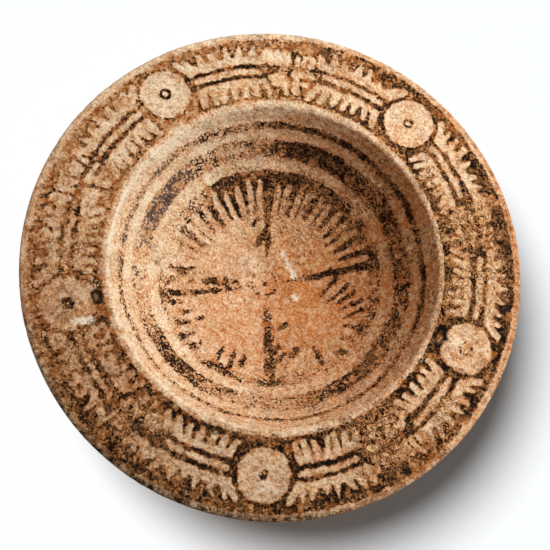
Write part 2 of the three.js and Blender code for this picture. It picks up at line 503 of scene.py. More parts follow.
def close_skin(points: Array, normals: Array, triangles: Array, depth: float) -> tuple[Array, list[Array]]:
    """Gives a skin a lower side and walls.

    Args:
        points: places of the upper side.
        normals: directions away from what carries the skin.
        triangles: faces of the upper side.
        depth: thickness of the skin.

    Returns:
        Places and faces of the closed skin.
    """
    count = len(points)
    directed = np.concatenate([triangles[:, [0, 1]], triangles[:, [1, 2]], triangles[:, [2, 0]]])
    forward = directed[:, 0] * count + directed[:, 1]
    backward = directed[:, 1] * count + directed[:, 0]
    rim = directed[~np.isin(forward, backward)]
    walls = np.stack([rim[:, 1], rim[:, 0], rim[:, 0] + count, rim[:, 1] + count], axis=1)
    closed = np.concatenate([points, points - depth * normals])
    return closed, [triangles, triangles[:, ::-1] + count, walls]


def lathe(
    name: str, radii: Array, levels: Array, columns: int, lift: Callable[[Array, Array], Array]
) -> bpy.types.Object:
    """Turns a section all the way round the axis into a mesh with relief.

    Args:
        name: name of the piece.
        radii: radius of each point of the section.
        levels: height of each point of the section.
        columns: points round the axis.
        lift: relief in millimetres from the places and the normals.

    Returns:
        The object.
    """
    turn = np.arange(columns) * 2 * math.pi / columns
    radius, theta = (grid.ravel() for grid in np.meshgrid(radii, turn, indexing="ij"))
    level = np.repeat(levels, columns)
    slope_r, slope_z = np.gradient(radii), np.gradient(levels)
    length = np.hypot(slope_r, slope_z) + 1e-9
    out = np.repeat(-slope_z / length, columns)
    up = np.repeat(slope_r / length, columns)
    points = np.stack([radius * np.cos(theta), radius * np.sin(theta), level], axis=1)
    normals = np.stack([out * np.cos(theta), out * np.sin(theta), up], axis=1)
    points = points + normals * lift(points, normals)[:, None]
    grid = Patch(len(radii), columns, theta, level, points, normals)
    return write_mesh(name, points, [grid.quads()], {})


# Strokes


@dataclass(frozen=True)
class Stroke:
    """A stroke or scratch through plan points, with its half width at each."""

    points: Array
    halves: Sequence[float]

    def distance(self, plan: Array) -> Array:
        """Distance of plan places from the stroke's outline, below zero inside it."""
        least = np.full(len(plan), np.inf)
        for a, b, thick, thin in zip(self.points, self.points[1:], self.halves, self.halves[1:]):
            way = b - a
            share = np.clip((plan - a) @ way / (way @ way + 1e-9), 0, 1)
            away = np.linalg.norm(plan - a - share[:, None] * way, axis=1)
            least = np.minimum(least, away - (thick + (thin - thick) * share))
        return least


# Weathering


@dataclass(frozen=True)
class Hollow:
    """A large pit or knock in the upper face, with soil in it that is partly cleared from its middle."""

    angle: float
    radius: float
    along: float
    across: float
    depth: float
    soil: float
    cleared: float


class Zone(Enum):
    """Parts of the upper face that have weathered apart."""

    FLOOR = "floor"
    WALL = "wall"
    LIP = "lip"
    FLANGE = "flange"
    EDGE = "edge"


@dataclass
class Weather:
    """Relief, stain and loss from burial and use on the upper face; its stains also hold painted shade and
    highlight.
    """

    form: BowlForm
    noise: ClayNoise = field(default_factory=lambda: ClayNoise(17))
    floor_radius: float = 47.0
    wobble: float = 0.2
    wobble_size: float = 38.0
    dent: float = 0.08
    dent_size: float = 9.0
    ripple: float = 0.045
    ripple_spacing: float = 3.4
    ripple_drift: float = 0.9
    ripple_drift_size: float = 24.0
    grain: float = 0.05
    grain_size: float = 1.5
    pit_depth: float = 0.3
    pit_spacing: float = 4.0
    pit_radii: tuple[float, float] = (0.3, 0.9)
    flake_depth: float = 0.12
    flake_size: float = 5.0
    chip_depth: float = 1.0
    chip_size: float = 5.0
    pit_soil: float = 0.6
    crust: float = 0.16
    crust_size: float = 2.4
    crust_share: float = 0.3
    crust_swing: float = 0.35
    crust_patch: float = 9.0
    scar_share: float = 0.85
    scar_ragged: float = 0.7
    hollows: tuple[Hollow, ...] = (
        Hollow(335.3, 71.2, 5.2, 3.0, 1.2, 1.0, 0.7),
        Hollow(192.0, 71.5, 3.4, 2.5, 1.2, 0.95, 0.4),
        Hollow(76.5, 94.0, 2.6, 2.1, 1.0, 0.75, 0.2),
        Hollow(272.0, 96.0, 2.6, 1.6, 0.9, 0.8, 0.5),
        Hollow(230.2, 84.0, 2.2, 2.6, 0.4, 0.85, 0.2),
        Hollow(221.6, 86.6, 2.0, 1.6, 0.4, 0.7, 0.2),
        Hollow(250.2, 70.6, 1.9, 1.4, 0.5, 0.8, 0.4),
        Hollow(291.3, 66.8, 1.5, 0.9, 0.5, 0.7, 0.3),
    )
    # Places where the crust lies thick or has been cleaned off: radius, angle, reach and weight
    crusts: tuple[tuple[float, float, float, float], ...] = (
        (36, 62, 13, 0.6), (28, 96, 9, 0.5), (50, 102, 6, 0.5), (50, 167, 6, 0.4), (33, 180, 8, 0.3),
        (40, 30, 8, 0.4), (37, 340, 9, -0.2), (34, 290, 11, 0.5), (56, 10, 8, 0.8), (55, 40, 8, 0.8),
        (55, 325, 9, 0.6), (54, 285, 7, 0.4), (76, 10, 10, 0.6), (73, 28, 8, 0.6), (84, 355, 11, 0.6),
        (78, 300, 12, 0.6), (90, 315, 8, 0.4), (71, 347, 8, 0.5), (86, 205, 11, 0.4), (82, 178, 10, 0.3),
        (84, 230, 10, 0.4), (86, 14, 9, 0.5), (82, 47, 8, -0.3), (82, 122, 8, -0.3), (82, 265, 8, -0.3),
        (82, 335, 7, -0.2), (16, 230, 13, -0.4), (20, 130, 9, -0.2), (24, 320, 9, -0.3), (64, 25, 8, -0.4),
        (60, 130, 14, -0.2), (60, 165, 16, -0.3), (60, 200, 16, -0.3), (60, 235, 14, -0.2),
    )
    # Pale scratches and chips: two ends as radius and angle, and half widths
    scars: tuple[tuple[tuple[float, float], tuple[float, float], float, float], ...] = (
        ((15.4, 66), (12.4, 13), 0.8, 1.2), ((12.6, -23), (14.2, -29), 0.8, 1.0),
        ((82.0, 197.4), (75.6, 198.6), 1.0, 1.4),
        ((90.6, 342.0), (88.0, 344.0), 0.5, 0.8), ((70.2, 326.0), (69.0, 325.0), 0.4, 0.5),
    )
    # Where each zone outside the floor begins to show and where it is full, from the run at its start
    blends: dict[Zone, tuple[float, float]] = field(default_factory=lambda: {
        # Starting the flange's stain on the lip's rounding lightens it where the lip is darker, a painted
        # highlight on its outer edge
        Zone.WALL: (-16, 3), Zone.LIP: (-2, 0.5), Zone.FLANGE: (-2.6, -1.0), Zone.EDGE: (-1.6, 0.2),
    })
    # Iron stain and dark dirt round the bowl, given for each zone
    # Both tables also hold painted shade, and the lip's stain a painted highlight, as noted zone by zone
    rust: dict[Zone, Turn] = field(default_factory=lambda: {
        # Partly painted shade: more stain on the floor at about 300 to 30 degrees, beside the shaded wall
        Zone.FLOOR: ((30, 0.95), (120, 0.5), (210, 0.62), (300, 0.92)),
        # Partly painted shade: the stain is highest at about 0 to 70 degrees, the wall's side away from the
        # key lamp
        Zone.WALL: (
            (0, 0.95), (35, 1.0), (70, 0.7), (105, 0.3), (135, 0.0), (170, 0.0), (200, 0.15), (240, 0.4),
            (300, 0.7),
        ),
        # Painted shade at about 320 to 75 degrees; below zero, at about 120 to 210 degrees, a painted
        # highlight on the lit lip
        Zone.LIP: (
            (0, 1.0), (40, 1.0), (75, 0.6), (105, 0.1), (130, -0.2), (165, -0.3), (205, -0.1),
            (245, 0.2), (290, 0.5), (320, 0.7),
        ),
        # Partly painted shade: more stain at about 165 to 260 degrees, the flange's side away from the key
        # lamp
        Zone.FLANGE: (
            (0, 0.32), (45, 0.38), (90, 0.28), (120, 0.28), (145, 0.3), (170, 0.46), (200, 0.52),
            (260, 0.34), (310, 0.4),
        ),
        # Partly painted shade: more stain at about 165 to 320 degrees, where the edge faces away from the
        # key lamp
        Zone.EDGE: (
            (0, 1.0), (40, 0.75), (90, 0.2), (130, 0.3), (165, 0.7), (210, 0.7), (270, 0.7), (320, 0.65),
        ),
    })
    grime: dict[Zone, Turn] = field(default_factory=lambda: {
        Zone.FLOOR: ((0, 0.0), (180, 0.0)),
        # On the wall and lip, painted shade at about 45 degrees, the side away from the key lamp
        Zone.WALL: ((0, 0.1), (45, 0.2), (90, 0.05), (180, 0.0), (300, 0.05)),
        Zone.LIP: ((0, 0.05), (45, 0.15), (90, 0.0), (270, 0.0)),
        # Partly painted shade: darker at about 190 to 280 degrees, the flange's side away from the key lamp
        Zone.FLANGE: (
            (0, 0.1), (45, 0.0), (120, 0.0), (160, 0.05), (195, 0.2), (240, 0.2), (280, 0.12),
            (330, 0.05),
        ),
        # Mostly painted shade: the rim's edge is darkened at about 200 to 300 degrees, where it faces away
        # from the key lamp
        Zone.EDGE: (
            (0, 0.2), (60, 0.1), (90, 0.0), (155, 0.0), (180, 0.05), (205, 0.7), (245, 1.0), (275, 0.8),
            (298, 0.3), (320, 0.05),
        ),
    })

    def stain(self, patch: Patch, shares: dict[Zone, Turn]) -> Array:
        """Blends a stain's shares in the zones.

        Args:
            patch: places on the upper face.
            shares: the stain round the bowl in each zone.

        Returns:
            The stain at each place.
        """
        form = self.form
        starts = (form.run_at(self.floor_radius), form.lip_run, form.flange_run, form.edge_run)
        total = around(patch.theta, shares[Zone.FLOOR])
        for start, (zone, (shows, full)) in zip(starts, self.blends.items()):
            share = ease(patch.run, start + shows, start + full)
            total = total + share * (around(patch.theta, shares[zone]) - total)
        return total

    def flaked(self, patch: Patch) -> Array:
        """Share of the slip's skin that has come off, by place."""
        return ease(self.noise.layered(patch.points, self.flake_size, 4), 0.42, 0.55)

    def crusted(self, patch: Patch) -> Array:
        """Share of burial crust, which lies in patches."""
        patchy = self.noise.layered(patch.points + 400, self.crust_patch, 3)
        share = self.crust_share + self.crust_swing * patchy
        for radius, angle, reach, weight in self.crusts:
            away = np.linalg.norm(patch.plan - polar(radius, angle), axis=1)
            share = share + weight * np.exp(-((away / reach) ** 2))
        return np.clip(share, 0.05, 1) * (1 - 0.65 * self.soiled(patch))

    def scarred(self, patch: Patch) -> Array:
        """Share of pale scratches and chips."""
        share = np.zeros(len(patch.theta))
        ragged = self.scar_ragged * self.noise.layered(patch.points, 2.0, 2)
        for start, end, thick, thin in self.scars:
            mark = Stroke(np.array([polar(*start), polar(*end)]), (thick, thin))
            inside = ease(mark.distance(patch.plan) + ragged, 0.3, -0.3)
            share = np.maximum(share, self.scar_share * inside)
        return share

    def layers(self, patch: Patch) -> dict[str, Array]:
        """Wear that the finishes read, by attribute name, with the painted shade and highlight held in the
        stains.
        """
        return {
            "bare": self.flaked(patch),
            "soil": self.soiled(patch),
            "rust": self.stain(patch, self.rust),
            "grime": self.stain(patch, self.grime),
            "crust": self.crusted(patch),
            "scar": self.scarred(patch),
        }

    def soiled(self, patch: Patch) -> Array:
        """Share of dark soil that the hollows and pits hold."""
        soil = self.pit_soil * self._pits(patch)
        for hollow in self.hollows:
            inside = self._inside(patch, hollow)
            held = ease(inside, 0.0, 0.15) * (1 - hollow.cleared * ease(inside, 0.5, 0.7))
            soil = np.maximum(soil, hollow.soil * held)
        return soil

    def opened(self, patch: Patch) -> Array:
        """Share of the skin lost to hollows and flakes."""
        lost = self.flaked(patch)
        for hollow in self.hollows:
            lost = np.maximum(lost, ease(self._inside(patch, hollow), 0.0, 0.15))
        return lost

    def _pits(self, patch: Patch) -> Array:
        """Small scattered pits."""
        gate = ease(self.noise.smooth(patch.points, 13.0), -0.2, 0.4)
        return gate * self.noise.pits(patch.points, self.pit_spacing, *self.pit_radii)

    def _inside(self, patch: Patch, hollow: Hollow) -> Array:
        """Share of the way into a hollow, 0 at its edge and 1 at its middle."""
        outward = polar(1.0, hollow.angle)
        away = patch.plan - polar(hollow.radius, hollow.angle)
        inside = np.zeros(len(away))
        near = np.hypot(away[:, 0], away[:, 1]) < 2 * max(hollow.along, hollow.across)
        along = (away[near, 1] * outward[0] - away[near, 0] * outward[1]) / hollow.along
        across = (away[near] @ outward) / hollow.across
        ragged = 0.25 * self.noise.smooth(patch.points[near], 1.6)
        inside[near] = np.clip(1 - np.hypot(along, across) + ragged, 0, 1)
        return inside

    def relief(self, patch: Patch) -> Array:
        """Height of the real face over the turned form, in millimetres."""
        points = patch.points
        lift = self.wobble * self.noise.smooth(points, self.wobble_size)
        lift = lift + self.dent * self.noise.smooth(points, self.dent_size)
        drift = patch.run + self.ripple_drift * self.noise.smooth(points, self.ripple_drift_size)
        lift += self.ripple * np.sin(2 * math.pi * drift / self.ripple_spacing)
        lift += self.grain * self.noise.layered(points, self.grain_size, 2)
        lift += self.crust * self.crusted(patch) * self.noise.layered(points - 200, self.crust_size, 2)
        lift -= self.pit_depth * self._pits(patch) + self.flake_depth * self.flaked(patch)
        on_edge = ease(patch.run, self.form.edge_run - 1.0, self.form.edge_run + 1.0)
        chips = np.clip(self.noise.layered(points, self.chip_size, 3) - 0.3, 0, 1)
        lift -= self.chip_depth * on_edge * chips
        for hollow in self.hollows:
            lift -= hollow.depth * np.sqrt(self._inside(patch, hollow))
        return lift


# Ornament


@dataclass
class Drawing:
    """Strokes of one colour, drawn by hand."""

    noise: ClayNoise
    strokes: list[Stroke] = field(default_factory=list)
    reach: float = 6.0
    sway: float = 0.55
    sway_size: float = 8.0
    tremor: float = 0.42
    tremor_size: float = 1.9

    def arc(
        self, radius: float, start: float, end: float, halves: Sequence[float], lean: float = 0.0
    ) -> None:
        """Adds a stroke that runs round the axis.

        Args:
            radius: radius of the stroke's middle.
            start: angle of its start.
            end: angle of its end.
            halves: half widths, spread evenly along it.
            lean: how far its end lies further out than its start.
        """
        shares = np.linspace(0, 1, max(len(halves), 7))
        spread = np.interp(shares, np.linspace(0, 1, len(halves)), halves)
        points = np.array([polar(radius + lean * s, start + (end - start) * s) for s in shares])
        self.strokes.append(Stroke(points, list(spread)))

    def line(self, ends: Sequence[tuple[float, float]], halves: Sequence[float]) -> None:
        """Adds a stroke through radii and angles."""
        points = np.array([polar(radius, angle) for radius, angle in ends])
        self.strokes.append(Stroke(points, list(halves)))

    def distance(self, patch: Patch) -> Array:
        """Distance of places from the drawing, below zero inside it and at most its reach."""
        points = patch.points
        shift = [
            self.sway * self.noise.smooth(points + 50 * k, self.sway_size)
            + self.tremor * self.noise.smooth(points - 70 * k, self.tremor_size)
            for k in (1, 2)
        ]
        plan = patch.plan + np.stack(shift, axis=1)
        least = np.full(len(plan), self.reach)
        for stroke in self.strokes:
            margin = self.reach + max(stroke.halves)
            low, high = stroke.points.min(axis=0) - margin, stroke.points.max(axis=0) + margin
            near = np.all((plan > low) & (plan < high), axis=1)
            least[near] = np.minimum(least[near], stroke.distance(plan[near]))
        return least


@dataclass
class PaintedCoat:
    """One painted piece: where its paint lies and how densely."""

    name: str
    start: float
    end: float
    field: Callable[[Patch], tuple[Array, Array]]
    stain: float = 0.0
    veil: Turn = ((0, 0.0),)
    taken_up: float = 0.6

    def ghost(self, theta: Array, cover: Array, density: Array) -> Array:
        """Stain that the paint leaves on the slip, also where only a veil of it lay.

        Args:
            theta: angles in radians.
            cover: distance into the painted shape.
            density: how densely the paint was laid, 0 to 1.

        Returns:
            Share of the stain at each place.
        """
        veil = around(theta, self.veil)
        share = veil + (1 - veil) * ease(cover, -0.8, 0.9)
        return share * (self.stain + self.taken_up * np.clip(density, 0, 1))


@dataclass
class Painter:
    """Makes painted pieces as thin skins on the weathered slip."""

    form: BowlForm
    weather: Weather
    noise: ClayNoise
    step: float = 0.36
    stand: float = 0.1
    depth: float = 0.24
    coarse_wear: float = 0.34
    coarse_size: float = 4.5
    fine_wear: float = 0.3
    fine_size: float = 1.5
    bare_below: float = 0.2
    wear_slope: float = 2.2

    def paint(self, coat: PaintedCoat) -> bpy.types.Object:
        """Makes one painted piece.

        Args:
            coat: what is painted.

        Returns:
            The object, a closed skin with a density for each point.
        """
        patch = self.form.patch(coat.start, coat.end, self.step, self.step)
        shape, density = coat.field(patch)
        cover, left = self.worn(patch, shape, density)
        ghost = coat.ghost(patch.theta, shape, density)
        layers = {"paint_left": left, "ghost": ghost, **self.weather.layers(patch)}
        upper = patch.points + patch.normals * (self.weather.relief(patch) + self.stand)[:, None]
        triangles, pairs, share = cut_faces(patch.quads(), cover)

        def with_cuts(values: Array) -> Array:
            """Adds the values of the new points."""
            part = share.reshape(-1, *[1] * (values.ndim - 1))
            return np.concatenate([values, values[pairs[:, 0]] * (1 - part) + values[pairs[:, 1]] * part])

        used, corners = np.unique(triangles, return_inverse=True)
        points, normals = with_cuts(upper)[used], with_cuts(patch.normals)[used]
        closed, faces = close_skin(points, normals, corners.reshape(-1, 3), self.depth)
        worn = {name: np.tile(with_cuts(values)[used], 2) for name, values in layers.items()}
        return write_mesh(WORN + coat.name, closed, faces, worn)

    def worn(self, patch: Patch, cover: Array, density: Array) -> tuple[Array, Array]:
        """Takes away the paint that has flaked.

        Args:
            patch: places on the upper face.
            cover: distance into the painted shape.
            density: how densely the paint was laid and kept, 0 to 1.

        Returns:
            The field that the skin is cut along, and the paint left at each place.
        """
        coarse = self.coarse_wear * self.noise.layered(patch.points, self.coarse_size, 2)
        patches = coarse + self.fine_wear * self.noise.layered(patch.points + 9, self.fine_size, 2)
        kept = self.wear_slope * (density - self.bare_below + patches)
        whole = 0.7 - 1.2 * self.weather.opened(patch)
        field_left = np.minimum(np.minimum(cover, kept), whole)
        left = np.clip(density + 0.8 * patches, 0, 1) * (0.45 + 0.55 * ease(field_left, 0.0, 0.7))
        return field_left, left


@dataclass(frozen=True)
class Disc:
    """A light disc of the frieze and the eye painted in it."""

    angle: float
    radius: float
    size: float
    eye_size: float
    eye_line: float
    eye_density: float


@dataclass
class RimFrieze:
    """Five winged discs and five blossoms, left light in the flange's dark ground."""

    form: BowlForm
    noise: ClayNoise
    discs: tuple[Disc, ...] = (
        Disc(47.0, 82.6, 10.5, 1.6, 0.8, 0.85),
        Disc(122.4, 83.3, 10.2, 1.9, 0.7, 1.0),
        Disc(192.3, 82.5, 10.8, 1.4, 1.3, 0.95),
        Disc(266.0, 83.0, 10.2, 0.9, 1.2, 0.85),
        Disc(335.3, 82.5, 10.3, 1.5, 1.6, 0.45),
    )
    veil: Turn = (
        (0, 0.25), (6, 0.5), (11, 0.65), (17, 0.5), (22, 0.0), (60, 0.0), (75, 0.1), (95, 0.0),
        (118, 0.0), (130, 0.0), (150, 0.05), (157, 0.05), (166, 0.15), (180, 0.2), (192, 0.35),
        (205, 0.36), (222, 0.36), (229, 0.6), (237, 0.2), (243, 0.05), (288, 0.1), (296, 0.5),
        (301, 0.65), (306, 0.45), (312, 0.1), (345, 0.15),
    )
    # How far the motifs' edges are rubbed away, in millimetres
    rubbed: Turn = (
        (0, 0.6), (5, 1.2), (11, 2.0), (17, 1.2), (22, 0.3), (60, 0.4), (86, 0.6), (95, 0.2), (116, 0.2),
        (130, 0.6), (157, 0.7), (166, 1.4), (192, 1.5), (222, 1.7), (229, 2.2), (236, 1.0), (243, 0.5),
        (272, 0.3), (290, 0.5), (296, 1.7), (301, 2.3), (306, 1.5), (312, 0.5), (345, 0.4),
    )
    # Paint kept in the two dark lines beside the wings' bars
    line_density: Turn = (
        (0, 0.6), (11, 0.5), (20, 0.85), (38, 0.85), (55, 0.65), (78, 0.55), (86, 0.4), (95, 1.15),
        (115, 1.15), (130, 0.7), (150, 0.65), (157, 0.5), (166, 0.75), (184, 0.75), (200, 0.55),
        (229, 0.5), (240, 0.9), (257, 0.9), (274, 1.1), (291, 1.1), (301, 0.4), (309, 0.9), (327, 0.9),
        (340, 0.5),
    )
    outer_margin: Turn = (
        (0, 1.3), (30, 1.7), (60, 0.9), (95, 1.7), (160, 2.0), (180, 1.4), (240, 0.8), (270, 0.8),
        (300, 1.2), (330, 1.5),
    )
    inner_margin: Turn = (
        (0, -0.4), (30, 0.2), (60, 0.8), (90, 1.0), (120, 0.2), (150, 0.0), (210, 0.3), (300, 0.2),
        (330, -0.4),
    )
    wing_gap: float = 9.0
    wing_bar: float = 82.4
    bar_lines: tuple[float, float] = (84.8, 80.2)
    outer_comb: float = 87.5
    outer_root: float = 87.8
    outer_tip: float = 93.0
    inner_comb: float = 77.6
    inner_root: float = 77.2
    inner_tip: float = 72.0
    feathers: int = 7
    blossom_half: float = 7.2
    # Lobes of a blossom: angles from its middle, radius of their tips, and half widths
    lobe_root: float = 86.4
    lobes: tuple[tuple[tuple[float, ...], float, tuple[float, float]], ...] = (
        ((-5.3, -3.3, -1.4), 89.2, (1.45, 1.2)),
        ((1.5, 3.6, 5.8), 90.6, (1.6, 1.5)),
    )
    # Its petals: radius and angle from its middle at both ends, and half widths
    petals: tuple[tuple[tuple[float, float], tuple[float, float], tuple[float, float]], ...] = (
        ((81.4, -6.0), (81.4, -1.0), (1.0, 1.2)),
        ((77.4, -4.8), (77.4, -1.2), (1.0, 1.2)),
        ((81.4, -1.9), (73.4, -1.9), (1.5, 1.4)),
        ((80.0, 2.4), (79.4, 5.8), (1.9, 1.7)),
        ((77.0, 2.4), (76.8, 4.8), (1.8, 1.5)),
        ((79.0, 1.5), (72.6, 1.5), (1.1, 1.0)),
    )
    seed: int = 5
    density: Turn = (
        (0, 1.05), (30, 0.58), (60, 0.5), (85, 0.28), (110, 0.21), (135, 0.21), (160, 0.22), (180, 0.25),
        (205, 0.38), (230, 0.63), (255, 0.65), (280, 0.62), (300, 0.66), (325, 0.62), (345, 0.82),
    )
    light: Drawing = field(init=False)

    def __post_init__(self) -> None:
        """Draws the light motifs."""
        self.light = Drawing(self.noise)
        rng = np.random.default_rng(self.seed)
        for disc in self.discs:
            ends = [(disc.radius - 0.5, disc.angle), (disc.radius + 0.5, disc.angle)]
            self.light.line(ends, [disc.size - 0.3] * 2)
        angles = [disc.angle for disc in self.discs]
        for here, there in zip(angles, [*angles[1:], angles[0] + 360]):
            middle = (here + there) / 2
            self._wing(here + self.wing_gap, middle - self.blossom_half, rng)
            self._wing(there - self.wing_gap, middle + self.blossom_half, rng)
            self._blossom(middle)

    def _wing(self, near: float, far: float, rng: np.random.Generator) -> None:
        """Draws a wing from beside its disc to its far end: a bar between two feather combs."""
        side = math.copysign(1.0, far - near)
        lift = rng.uniform(-0.25, 0.25)
        lean = rng.uniform(-0.4, 0.6)
        self.light.arc(self.wing_bar + lift, near + side, far - side * 2.6, [1.15, 1.3, 1.1], lean)
        self.light.arc(self.outer_comb + lift, near, far - side, [1.8, 1.7, 1.7])
        self.light.arc(self.inner_comb + lift, near + side, far - side, [1.4, 1.4, 1.3])
        for k in range(self.feathers):
            share = (k + 0.3) / (self.feathers - 0.4)
            root = near + (far - near) * share
            fan = side * (4.4 * (share - 0.42))
            fat = rng.uniform(-0.15, 0.3)
            tip = self.outer_tip + rng.uniform(-1.3, 0.6)
            lean = root + 0.62 * fan + rng.uniform(-0.7, 0.7)
            self.light.line([(self.outer_root, root), (tip, lean)], [1.85 + fat, 0.75 + fat])
            tip = self.inner_tip + rng.uniform(-0.8, 0.8)
            lean = root + 0.8 * fan + rng.uniform(-0.6, 0.6)
            self.light.line([(self.inner_root, root), (tip, lean)], [1.6 + fat, 1.15 + fat])
        self.light.line([(87.2, near), (self.outer_tip, near - side * 2.8)], [1.7, 1.2])

    def _blossom(self, middle: float) -> None:
        """Draws a blossom: two scalloped lobes above a forked and a blunt petal."""
        for asides, tip, halves in self.lobes:
            for aside in asides:
                self.light.line([(self.lobe_root, middle + aside), (tip, middle + 1.05 * aside)], halves)
        for *ends, halves in self.petals:
            self.light.line([(radius, middle + aside) for radius, aside in ends], halves)

    def ground(self, patch: Patch) -> tuple[Array, Array]:
        """Where the dark ground lies, and how densely."""
        ragged = self.noise.layered(patch.points + 60, 2.6, 2)
        motif = self.light.distance(patch) + around(patch.theta, self.rubbed) * ragged
        margin = around(patch.theta, self.outer_margin) + 0.5 * self.noise.layered(patch.points, 5.0, 2)
        edge = self.form.flange_outer - margin
        begin = self.form.flange_inner + around(patch.theta, self.inner_margin) + 0.4 * ragged
        cover = np.minimum(motif, np.minimum(edge - patch.radius, patch.radius - begin))
        # The brush left most paint along the motifs and the rim
        pooled = 0.5 * np.exp(-((np.maximum(motif, 0) / 1.3) ** 2))
        pooled = pooled + 0.2 * np.exp(-np.maximum(edge - patch.radius, 0))
        uneven = np.clip(0.75 + 0.8 * self.noise.layered(patch.points + 30, 11.0, 2), 0, 1.2)
        density = around(patch.theta, self.density) + pooled * uneven
        beside = np.minimum(*(np.abs(patch.radius - line) for line in self.bar_lines))
        return cover, np.maximum(density, around(patch.theta, self.line_density) * ease(beside, 1.5, 0.7))

    def eye(self, disc: Disc) -> Callable[[Patch], tuple[Array, Array]]:
        """Field of one disc's eye."""
        middle = polar(disc.radius, disc.angle)

        def eye_field(patch: Patch) -> tuple[Array, Array]:
            """A small ring, or a blot where the ring is narrow."""
            away = np.linalg.norm(patch.plan - middle, axis=1) + 0.3 * self.noise.smooth(patch.points, 1.8)
            return disc.eye_line - np.abs(away - disc.eye_size), np.full(len(away), disc.eye_density)

        return eye_field

    def coats(self) -> list[PaintedCoat]:
        """The frieze's painted pieces."""
        form = self.form
        made = [PaintedCoat("rim_ground", form.flange_run, form.edge_run, self.ground, 0.36, self.veil)]
        for number, disc in enumerate(self.discs):
            run, reach = form.run_at(disc.radius), disc.eye_size + disc.eye_line + 0.8
            made.append(PaintedCoat(f"disc_eye_{number + 1}", run - reach, run + reach, self.eye(disc)))
        return made


@dataclass
class WellRings:
    """Lines and the broad band painted round the well."""

    form: BowlForm
    noise: ClayNoise
    line_radius: float = 61.4
    line_half: Turn = (
        (0, 1.05), (55, 1.1), (90, 1.1), (110, 1.3), (180, 1.2), (215, 0.8), (300, 0.8), (340, 0.95),
    )
    streak_radius: float = 54.6
    streak: Turn = ((101, 0.0), (104, 1.0), (112, 1.0), (115, 0.0))
    band_inner: float = 51.0
    band_outer: float = 57.4
    band_margin: float = 1.4
    line_margin: float = 2.5
    lip_width: float = 1.0
    lip_density: Turn = (
        (0, 0.2), (30, 0.1), (110, 0.05), (150, 0.15), (200, 0.1), (240, 0.05), (270, 0.3), (330, 0.25),
    )
    line_density: Turn = (
        (0, 0.9), (75, 0.85), (95, 0.55), (150, 0.5), (190, 0.45), (215, 0.5), (240, 0.6), (280, 0.6),
        (320, 0.7),
    )
    band_density: Turn = (
        (0, 0.56), (30, 0.75), (50, 1.0), (80, 1.0), (90, 0.52), (100, 0.46), (120, 0.48), (135, 0.6),
        (155, 0.72), (163, 0.46), (172, 0.3), (190, 0.28), (205, 0.42), (222, 0.75), (240, 0.5),
        (260, 0.34), (275, 0.36), (300, 0.72), (320, 0.72), (345, 0.58),
    )

    def lip(self, patch: Patch) -> tuple[Array, Array]:
        """The dark line that turns over the lip."""
        end = self.form.flange_run
        start = end - self.lip_width + 1.2 * self.noise.layered(patch.points, 6.0, 3)
        return np.minimum(patch.run - start, end + 0.9 - patch.run), around(patch.theta, self.lip_density)

    def line(self, patch: Patch) -> tuple[Array, Array]:
        """The thin line below the lip."""
        middle = self.line_radius + 0.5 * self.noise.smooth(patch.points, 16.0)
        half = around(patch.theta, self.line_half) + 0.35 * self.noise.smooth(patch.points, 5.0)
        return half - np.abs(patch.radius - middle), around(patch.theta, self.line_density)

    def band(self, patch: Patch) -> tuple[Array, Array]:
        """The broad band round the floor."""
        drift = 0.6 * self.noise.smooth(patch.points, 12.0) + 0.3 * self.noise.smooth(patch.points, 3.0)
        cover = np.minimum(self.band_outer + drift - patch.radius, patch.radius - self.band_inner - drift)
        # A streak of slip was missed between two turns of the brush
        missed = around(patch.theta, self.streak)
        aside = np.abs(patch.radius - self.streak_radius) - 0.9 * missed + 9 * (missed <= 0)
        return np.minimum(cover, aside), around(patch.theta, self.band_density)

    def coats(self) -> list[PaintedCoat]:
        """The well's painted rings."""
        form = self.form
        line = form.run_at(self.line_radius)
        inner, outer = form.run_at(self.band_inner), form.run_at(self.band_outer)
        return [
            PaintedCoat("lip_line", form.flange_run - self.lip_width - 1, form.flange_run, self.lip),
            PaintedCoat("well_line", line - self.line_margin, line + self.line_margin, self.line, 0.05),
            PaintedCoat("well_band", inner - self.band_margin, outer + self.band_margin, self.band, 0.05),
        ]


@dataclass(frozen=True)
class Arm:
    """A painted arm of the cross between the palmettes, with its half width near the middle and far out."""

    angle: float
    near: float
    far: float

    def beside(self, patch: Patch) -> Array:
        """Distance of places from the arm's side, above zero anticlockwise of it."""
        turn = math.radians(self.angle)
        return patch.points[:, 1] * math.cos(turn) - patch.points[:, 0] * math.sin(turn)

    def half(self, radius: Array) -> Array:
        """Half width at a radius."""
        return np.interp(radius, (8, 40), (self.near, self.far))


